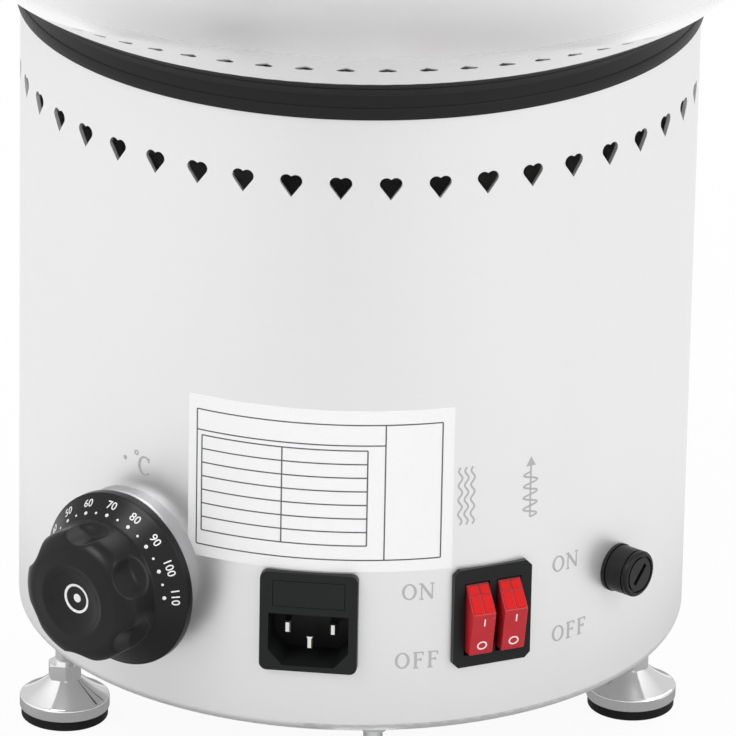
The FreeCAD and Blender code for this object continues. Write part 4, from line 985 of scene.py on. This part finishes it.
@dataclass
class BaseUnit:
    """Shell, ring, bowl and everything fixed to them, with the label and the printed signs."""

    shop: Workshop
    panel: Panel
    print_face: Point2 = (-0.05, 0.03)
    label_azimuths: Point2 = (-21.5, 23.8)
    label_heights: Point2 = (94.6, 147.6)
    label_thick: float = 0.12
    letter_height: float = 5.2
    ring_height: float = 242.0

    def dress(self) -> None:
        """Give the fixed nodes their finishes."""
        self.shop.dress("shell_steel", "base_shell", "bottom_plate")
        self.shop.dress("bowl_steel", "bowl")
        self.shop.dress("polished_steel", "tower_seat")
        self.shop.dress("black_rubber", "rim_ring")
        self.shop.dress("satin_grey", "dial_boss")
        self.shop.dress("zinc_steel", "bottom_screws", "foot_sockets", "foot_lock_nuts", "thermostat_screws",
                        "thermostat_body", "bulb_clip", "heater_clamp", "heater_nuts", "motor_pillars",
                        "motor_plate", "motor_screws", "bush_nut")
        self.shop.dress("copper", "capillary_tube", "sensing_bulb")
        self.shop.dress("mica_grey", "heater_ring")
        self.shop.dress("cast_alloy", "gearbox_case")
        self.shop.dress("motor_paint", "motor_can")
        self.shop.dress("natural_nylon", "terminal_block", "shaft_bush")

    def label(self) -> None:
        """Blank ruled sticker above the inlet."""
        middle = sum(self.label_azimuths) / 2
        low, high = self.label_heights
        place = self.panel.wrap(middle, low)
        half = math.radians(self.label_azimuths[1] - self.label_azimuths[0]) / 2 * self.panel.radius
        width, height = 2 * half, high - low
        sheet = Draft()
        sheet.slab(place, (-half, half), (0, height), (-0.02, self.label_thick), 48)
        self.shop.place(sheet.make("blank_label"), "base", "label_paper")
        rules = Draft()
        line = 0.42

        def ruled(left: float, right: float, bottom: float, top: float) -> None:
            """One rule between shares of the label's width and height."""
            rules.slab(place, (left * width - half, right * width - half), (bottom * height, top * height),
                       (self.label_thick - 0.02, self.label_thick + 0.03), 24)

        thin_x, thin_y = line / width, line / height
        left, right, bottom, top, divide = 0.035, 0.955, 0.075, 0.915, 0.745
        table_left, table_right, column = 0.055, 0.68, 0.365
        header, table_top, table_bottom, rows = 0.788, 0.757, 0.165, 7
        for y in (bottom, top):
            ruled(left, right, y - thin_y / 2, y + thin_y / 2)
        for x in (left, right, divide):
            ruled(x - thin_x / 2, x + thin_x / 2, bottom, top)
        ruled(left, divide, header - thin_y / 2, header + thin_y / 2)
        for row in range(rows + 1):
            y = table_bottom + (table_top - table_bottom) * row / rows
            ruled(table_left, table_right, y - thin_y / 2, y + thin_y / 2)
        for x in (table_left, column, table_right):
            ruled(x - thin_x / 2, x + thin_x / 2, table_bottom, table_top)
        self.shop.place(rules.make("label_rules"), "base", "rule_ink")

    def ring_lip(self) -> None:
        """Lower half of the rim ring, a little prouder than its upper half."""
        outline = [(0.6, 0.02), (1.0, 0.02), (1.12, 0.3), (1.12, 3.5), (1.0, 3.8), (0.6, 3.95)]
        draft = Draft()
        rows = []
        for proud, up in outline:
            reach = (self.panel.radius + proud) * MM
            rows.append([Vector((reach * math.cos(math.radians(degree)),
                                 reach * math.sin(math.radians(degree)), (self.ring_height + up) * MM))
                         for degree in range(360)])
        draft.grid(rows + rows[:1], wrap=True)
        self.shop.place(draft.make("rim_ring_lip", 30.0), "base", "black_rubber")

    def words(self) -> None:
        """ON and OFF beside the switch, and the degree sign and dot over the dial."""
        for text, name, azimuth, height in (("ON", "on_left", 18.2, 87.6), ("OFF", "off_left", 18.15, 64.7),
                                            ("ON", "on_right", 45.6, 89.1), ("OFF", "off_right", 46.8, 65.6)):
            draft = Draft()
            Lettering(draft, self.panel.wrap(azimuth, height), self.letter_height, self.print_face).word(text)
            self.shop.place(draft.make(name), "base", "grey_ink")
        draft = Draft()
        signs = Lettering(draft, self.panel.wrap(-30.4, 119.3), 6.2, self.print_face)
        signs.word("C")
        signs.degree(-0.50, 0.58, 0.10)
        draft.button(self.panel.wrap(-34.6, 120.0), (0, 0), 0.75, 0.12)
        self.shop.place(draft.make("degree_sign"), "base", "grey_ink")

    def pictograms(self) -> None:
        """Rising warmth over the left rocker and a screw under an arrow over the right one."""
        stroke = 0.62
        waves = Draft()
        place = self.panel.wrap(26.1, 118.0)
        for column in (-1, 0, 1):
            line = [(column * 2.0 + 0.6 * math.sin(2 * math.pi * i / 14), -9.5 + 19.0 * i / 56)
                    for i in range(57)]
            waves.ribbon(place, line, [stroke] * len(line), self.print_face)
        self.shop.place(waves.make("warmth_sign"), "base", "grey_ink")
        screw = Draft()
        place = self.panel.wrap(37.9, 117.4)
        line = [(2.5 * math.sin(2 * math.pi * i / 12), -10.0 + 15.0 * i / 48) for i in range(49)]
        screw.ribbon(place, line, [stroke] * len(line), self.print_face)
        screw.ribbon(place, [(0.0, -10.0), (0.0, 7.6)], [stroke, stroke], self.print_face)
        screw.ribbon(place, [(0.0, 10.0), (0.0, 7.0)], [0.1, 3.4], self.print_face)
        self.shop.place(screw.make("screw_sign"), "base", "grey_ink")

    def make(self) -> None:
        """Dress the nodes and add what is stuck on or printed."""
        self.dress()
        self.ring_lip()
        self.label()
        self.words()
        self.pictograms()


@dataclass
class Dial:
    """Knob with a numbered skirt, six soft scoops and a dished face."""

    shop: Workshop
    panel: Panel
    azimuth: float = -31.0
    height: float = 85.2
    back: float = 8.5
    boss_radius: float = 20.0
    flange_radius: float = 23.8
    flange_centre: Point2 = (-2.6, 1.8)
    flange_front: float = 4.0
    skirt_radius: float = 27.7
    skirt_edge: float = 2.9
    cone_height: float = 6.6
    grip_radius: float = 20.9
    depth: float = 24.4
    shoulder: float = 5.6
    dish_radius: float = 10.8
    dish_depth: float = 2.6
    scoops: int = 6
    scoop_first: float = 31.0
    scoop_depth: float = 2.9
    scoop_radius: float = 9.5
    scoop_blend: float = 0.9
    dot_radius: float = 22.7
    large_dot: float = 0.62
    small_dot: float = 0.42
    number_radius: float = 25.1
    number_size: float = 3.7
    lowest: int = 30
    highest: int = 110
    angle_of_45: float = 144.2
    angle_per_5: float = 10.75

    def profile(self) -> List[Point2]:
        """Draw half of the knob's section, from its back to the middle of its face.

        Returns:
            Radius and depth of each point.
        """
        front = self.back + self.depth
        cone_top = self.back + self.skirt_edge + self.cone_height
        slope = (self.skirt_radius - self.grip_radius) / self.cone_height
        points: List[Point2] = [(4.0, self.back + 1.0), (self.skirt_radius - 2.8, self.back + 1.0),
                                (self.skirt_radius - 2.8, self.back), (self.skirt_radius - 0.4, self.back)]
        points += arc_points((self.skirt_radius - 0.4, self.back + 0.4), 0.4, -90, 0, 5)[1:]
        points += arc_points((self.skirt_radius - 0.5, self.back + self.skirt_edge - 0.3), 0.5, 0, 45, 5)
        for i in range(1, 15):
            share = i / 15
            points.append((self.skirt_radius - 0.2 - slope * share * (self.cone_height - 0.2),
                           self.back + self.skirt_edge + share * self.cone_height))
        points += [(self.grip_radius + 0.12, cone_top - 0.05), (self.grip_radius, cone_top + 0.25)]
        straight = front - self.shoulder - cone_top - 0.4
        points += [(self.grip_radius, cone_top + 0.4 + straight * i / 22) for i in range(1, 23)]
        for i in range(1, 19):
            turn = math.radians(90 * i / 18)
            points.append((self.grip_radius - self.shoulder * (1 - math.cos(turn)) ** 0.92,
                           front - self.shoulder + (self.shoulder - 0.5) * math.sin(turn) ** 0.96))
        face_start = self.grip_radius - self.shoulder
        points += [(face_start - (face_start - self.dish_radius - 0.9) * i / 6, front - 0.5 + 0.5 * i / 6)
                   for i in range(1, 7)]
        for i in range(1, 8):
            share = i / 7
            points.append((self.dish_radius + 0.9 - 1.8 * share, front - 0.55 * smooth_step(share)))
        start = self.dish_radius - 0.9
        for i in range(1, 19):
            share = i / 18
            radius = start * (1 - share)
            points.append((max(radius, 0.02), front - self.dish_drop(radius)))
        return points

    def dish_drop(self, radius: float) -> float:
        """Depth of the dish under the knob's face at a radius."""
        start = self.dish_radius - 0.9
        return 0.55 + (self.dish_depth - 0.55) * max(0.0, 1 - (radius / start) ** 2) ** 0.8

    def cut_radius(self, angle: float, depth: float) -> float:
        """Distance from the axis to the wall of the nearest scoop.

        Args:
            angle: degrees round the knob.
            depth: distance out from the shell.

        Returns:
            The distance, or one past the skirt where there is no scoop.
        """
        pitch = 360.0 / self.scoops
        away = math.radians((angle - self.scoop_first + pitch / 2) % pitch - pitch / 2)
        cone_top = self.back + self.skirt_edge + self.cone_height
        foot = cone_top + self.scoop_radius * 0.55
        rise = 3.4 * (1 - smooth_step((depth - cone_top) / (foot - cone_top)))
        centre = self.grip_radius - self.scoop_depth + self.scoop_radius + rise
        inside = self.scoop_radius ** 2 - (centre * math.sin(away)) ** 2
        if inside <= 0:
            return 2 * self.skirt_radius
        return centre * math.cos(away) - math.sqrt(inside)

    def knob(self) -> None:
        """Moulded knob in one skin."""
        columns = 288
        place = self.panel.flat(self.azimuth, self.height)
        cone_top = self.back + self.skirt_edge + self.cone_height
        draft = Draft()
        rows = []
        for radius, depth in self.profile():
            row = []
            for j in range(columns):
                angle = 360.0 * j / columns
                reach = radius
                if depth > cone_top - 0.02 and radius > self.dish_radius + 1.0:
                    reach = smooth_min(radius, self.cut_radius(angle, depth), self.scoop_blend)
                turned = math.radians(angle)
                row.append(place(reach * math.cos(turned), reach * math.sin(turned), depth))
            rows.append(row)
        draft.tube(rows)
        piece = draft.make("dial_knob_moulding", 50.0)
        self.shop.place(piece, "dial", "black_plastic")
        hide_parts("dial_knob")

    def boss_flange(self) -> None:
        """Satin flange round the foot of the boss, saddled to the shell and a little off centre."""
        flat = self.panel.flat(self.azimuth, self.height)
        wall = self.panel.radius
        columns = 144
        inner = self.boss_radius - 0.1
        outer = self.flange_radius
        outline = [(inner, 0, None), (outer, 1, None), (outer, 1, self.flange_front - 0.5),
                   (outer - 0.5, 1, self.flange_front), (inner, 0, self.flange_front)]
        rows = []
        for radius, aside, front in outline:
            row = []
            for j in range(columns):
                u = radius * math.cos(2 * math.pi * j / columns) + aside * self.flange_centre[0]
                v = radius * math.sin(2 * math.pi * j / columns) + aside * self.flange_centre[1]
                row.append(flat(u, v, math.sqrt(wall ** 2 - u ** 2) - wall if front is None else front))
            rows.append(row)
        draft = Draft()
        draft.grid(rows + rows[:1], wrap=True)
        self.shop.place(draft.make("dial_boss_flange", 30.0), "base", "satin_grey")

    def on_cone(self, angle: float, radius: float) -> Place:
        """Frame on the numbered cone.

        Args:
            angle: degrees round the knob to the frame's point.
            radius: its distance from the knob's axis.

        Returns:
            A function of the distances to the right of a reader outside, outwards, and off the surface.
        """
        flat = self.panel.flat(self.azimuth, self.height)
        run = self.skirt_radius - self.grip_radius
        length = math.hypot(run, self.cone_height)
        out, drop = run / length, self.cone_height / length
        depth = self.back + self.skirt_edge + (self.skirt_radius - radius) * self.cone_height / run

        def place(u: float, v: float, w: float) -> Vector:
            """Point of the frame, in metres."""
            turned = math.radians(angle) - u / radius
            reach = radius + v * out + w * drop
            return flat(reach * math.cos(turned), reach * math.sin(turned), depth - v * drop + w * out)

        return place

    def angle_of(self, value: float) -> float:
        """Dial angle of a temperature, anticlockwise from the right."""
        return self.angle_of_45 - (value - 45) / 5 * self.angle_per_5

    def scale(self) -> None:
        """Dots at every five degrees and numbers at every ten."""
        dots = Draft()
        for value in range(self.lowest, self.highest + 1, 5):
            large = value % 10 == 0
            size = self.large_dot if large else self.small_dot
            dots.button(self.on_cone(self.angle_of(value), self.dot_radius), (0, 0), size, 0.16, 16)
        self.shop.place(dots.make("dial_dots"), "dial", "white_ink")
        numbers = Draft()
        for value in range(self.lowest, self.highest + 1, 10):
            place = self.on_cone(self.angle_of(value), self.number_radius)
            self.figure(numbers, str(value), place)
        self.shop.place(numbers.make("dial_numbers"), "dial", "white_ink")

    def figure(self, draft: Draft, text: str, place: Place) -> None:
        """Add a number's raised faces to a draft.

        Args:
            draft: the draft.
            text: the number.
            place: the frame that it stands in.
        """
        curve = bpy.data.curves.new("figure", "FONT")
        curve.body = text
        curve.size = self.number_size
        curve.align_x = "CENTER"
        curve.align_y = "CENTER"
        curve.resolution_u = 3
        curve.extrude = 0.05
        curve.offset = 0.03
        holder = bpy.data.objects.new("figure", curve)
        bpy.context.scene.collection.objects.link(holder)
        bpy.context.view_layer.update()
        mesh = bpy.data.meshes.new_from_object(holder)
        first = len(draft.vertices)
        draft.vertices.extend(place(v.co.x, v.co.y, v.co.z) for v in mesh.vertices)
        draft.faces.extend(tuple(first + i for i in face.vertices) for face in mesh.polygons)
        bpy.data.objects.remove(holder)
        bpy.data.curves.remove(curve)
        bpy.data.meshes.remove(mesh)

    def mark(self) -> None:
        """Plain ring and dot in the middle of the dish."""
        front = self.back + self.depth
        flat = self.panel.flat(self.azimuth, self.height)

        def place(u: float, v: float, w: float) -> Vector:
            """Point on the dish's floor."""
            return flat(u, v, front - self.dish_drop(math.hypot(u, v)) + w)

        draft = Draft()
        ring = arc_points((0, 0), 4.3, 0, 360, 64)[:-1]
        draft.ribbon(place, ring, [0.8] * len(ring), (-0.2, 0.1), closed=True)
        draft.button(place, (0, 0), 1.4, 0.2)
        self.shop.place(draft.make("dial_mark"), "dial", "white_ink")

    def make(self) -> None:
        """Build the dial and dress its spindle."""
        self.shop.dress("zinc_steel", "thermostat_spindle")
        self.boss_flange()
        self.knob()
        self.scale()
        self.mark()


@dataclass
class TwinSwitch:
    """Two red rockers in a dark frame, their red with painted shade and painted glow."""

    shop: Workshop
    panel: Panel
    azimuth: float = 31.0
    height: float = 77.7
    pitch: float = 10.6
    width: float = 7.7
    pivot: Point2 = (-0.4, -0.8)
    tilt: float = -9.0
    reach: float = 11.3
    end_front: float = 3.6
    ridge_up: float = 2.2
    ridge_front: float = 8.6
    rear: Point2 = (6.5, -5.0)
    edge: float = 0.35

    def frame_of(self, side: int) -> Place:
        """Frame of one rocker, tilted as at rest.

        Args:
            side: -1 for the left rocker and 1 for the right one.

        Returns:
            A function of the distances across, up and out from its pivot.
        """
        flat = self.panel.flat(self.azimuth, self.height)
        turn = math.radians(self.tilt)

        def place(u: float, v: float, w: float) -> Vector:
            """Point of the tilted frame, in metres."""
            up = v * math.cos(turn) - w * math.sin(turn)
            out = v * math.sin(turn) + w * math.cos(turn)
            return flat(side * self.pitch / 2 + u, self.pivot[0] + up, self.pivot[1] + out)

        return place

    def facet(self, side: int, upper: bool) -> Place:
        """Frame on one facet of a rocker.

        Args:
            side: -1 for the left rocker and 1 for the right one.
            upper: the facet over the ridge, not the one under it.

        Returns:
            A function of the distances across, along from the ridge, and off the facet.
        """
        body = self.frame_of(side)
        end = (self.reach, self.end_front) if upper else (-self.reach, self.end_front + 0.4)
        along = Vector((end[0] - self.ridge_up, end[1] - self.ridge_front))
        along.normalize()
        out = Vector((-along.y, along.x)) if upper else Vector((along.y, -along.x))

        def place(u: float, v: float, w: float) -> Vector:
            """Point of the facet's frame: across, along from the ridge, and off it."""
            up, front = self.ridge_up + along.x * v, self.ridge_front + along.y * v
            return body(u, up + out.x * w, front + out.y * w)

        return place

    def rocker(self, side: int, body: str, node: str) -> None:
        """Build one rocker with its lens bars and its signs.

        Args:
            side: -1 for the left rocker and 1 for the right one.
            body: the body that it moves with.
            node: the CAD node of the rocker.
        """
        outline = [(self.reach, self.end_front), (self.reach - 0.7, -1.0), self.rear,
                   (-self.rear[0], self.rear[1]), (-self.reach + 0.7, -1.0),
                   (-self.reach, self.end_front + 0.4), (self.ridge_up, self.ridge_front)]
        place = self.frame_of(side)
        half = self.width / 2
        draft = Draft()
        draft.tube([[place(u, y, z) for y, z in outline] for u in (-half, half)])
        piece = draft.make(node + "_body", 20.0)
        bevel = piece.modifiers.new("soft_edges", "BEVEL")
        bevel.width = self.edge * MM
        bevel.segments = 3
        bevel.limit_method = "ANGLE"
        bevel.harden_normals = True
        self.shop.place(piece, body, "red_plastic")
        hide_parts(node)
        self.lens(side, body, node)
        self.signs(side, body, node)

    def lens(self, side: int, body: str, node: str) -> None:
        """Build four raised bars of red on the upper facet, with a stronger painted glow than the rocker.

        Args:
            side: -1 for the left rocker and 1 for the right one.
            body: the body that it moves with.
            node: the CAD node of the rocker.
        """
        place = self.facet(side, True)
        draft = Draft()
        length = math.hypot(self.reach - self.ridge_up, self.ridge_front - self.end_front)
        half = self.width / 2 - 0.45
        for left, right in ((-half, -0.22), (0.22, half)):
            for start, end in ((0.55, length * 0.60), (length * 0.60 + 0.35, length - 0.7)):
                draft.slab(place, (left, right), (start, end), (-0.2, 0.28), 1)
        piece = draft.make(node + "_lens", 20.0)
        bevel = piece.modifiers.new("soft_edges", "BEVEL")
        bevel.width = 0.14 * MM
        bevel.segments = 2
        self.shop.place(piece, body, "red_lens", "red_plastic")

    def signs(self, side: int, body: str, node: str) -> None:
        """Build the white line near the ridge and the white ring near the foot of the lower facet.

        Args:
            side: -1 for the left rocker and 1 for the right one.
            body: the body that it moves with.
            node: the CAD node of the rocker.
        """
        place = self.facet(side, False)
        draft = Draft()
        draft.ribbon(place, [(0.15, 1.5), (0.15, 4.0)], [0.42, 0.42], (-0.1, 0.05))
        ring = [(1.45 * math.cos(2 * math.pi * i / 32), 11.0 + 1.25 * math.sin(2 * math.pi * i / 32))
                for i in range(32)]
        draft.ribbon(place, ring, [0.45] * len(ring), (-0.1, 0.05), closed=True)
        self.shop.place(draft.make(node + "_signs"), body, "white_ink")

    def make(self) -> None:
        """Dress the frame and build both rockers."""
        self.shop.dress("charcoal_plastic", "switch_frame")
        self.shop.dress("nickel_blade", "switch_terminals")
        self.rocker(-1, "heat_switch", "heat_rocker")
        self.rocker(1, "motor_switch", "motor_rocker")


@dataclass
class SupplyParts:
    """Mains inlet with its drawer, and the panel fuse."""

    shop: Workshop

    def make(self) -> None:
        """Dress the nodes."""
        self.shop.dress("charcoal_plastic", "inlet_body", "fuse_drawer")
        self.shop.dress("nickel_blade", "inlet_pins")
        self.shop.dress("black_plastic", "fuse_holder", "fuse_holder_nut", "fuse_cap")
        self.shop.dress("fuse_glass", "drawer_fuse", "panel_fuse")


@dataclass
class Feet:
    """Levelling feet with chromed cups on rubber pads."""

    shop: Workshop
    count: int = 4

    def make(self) -> None:
        """Dress every foot."""
        for number in range(1, self.count + 1):
            self.shop.dress("chrome", "foot_%d_stud" % number)
            self.shop.dress("black_rubber", "foot_%d_pad" % number)


@dataclass
class Tower:
    """Lift-off tube, canopies and crown, with the auger and its shaft."""

    shop: Workshop
    steel: Sequence[str] = ("tower_tube", "lower_canopy", "middle_canopy", "upper_canopy", "crown", "auger")

    def make(self) -> None:
        """Dress the tower's nodes."""
        self.shop.dress("polished_steel", *self.steel)
        self.shop.dress("zinc_steel", "drive_shaft")


def main() -> None:
    """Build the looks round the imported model."""
    logging.basicConfig(level=logging.INFO, format="%(name)s: %(message)s")
    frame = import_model()
    bpy.context.scene.view_settings.view_transform = "Standard"
    PhotoCamera().make()
    Studio().make()
    shop = Workshop(frame)
    panel = Panel()
    BaseUnit(shop, panel).make()
    Dial(shop, panel).make()
    TwinSwitch(shop, panel).make()
    SupplyParts(shop).make()
    Feet(shop).make()
    Tower(shop).make()


if __name__ == "__main__":
    main()
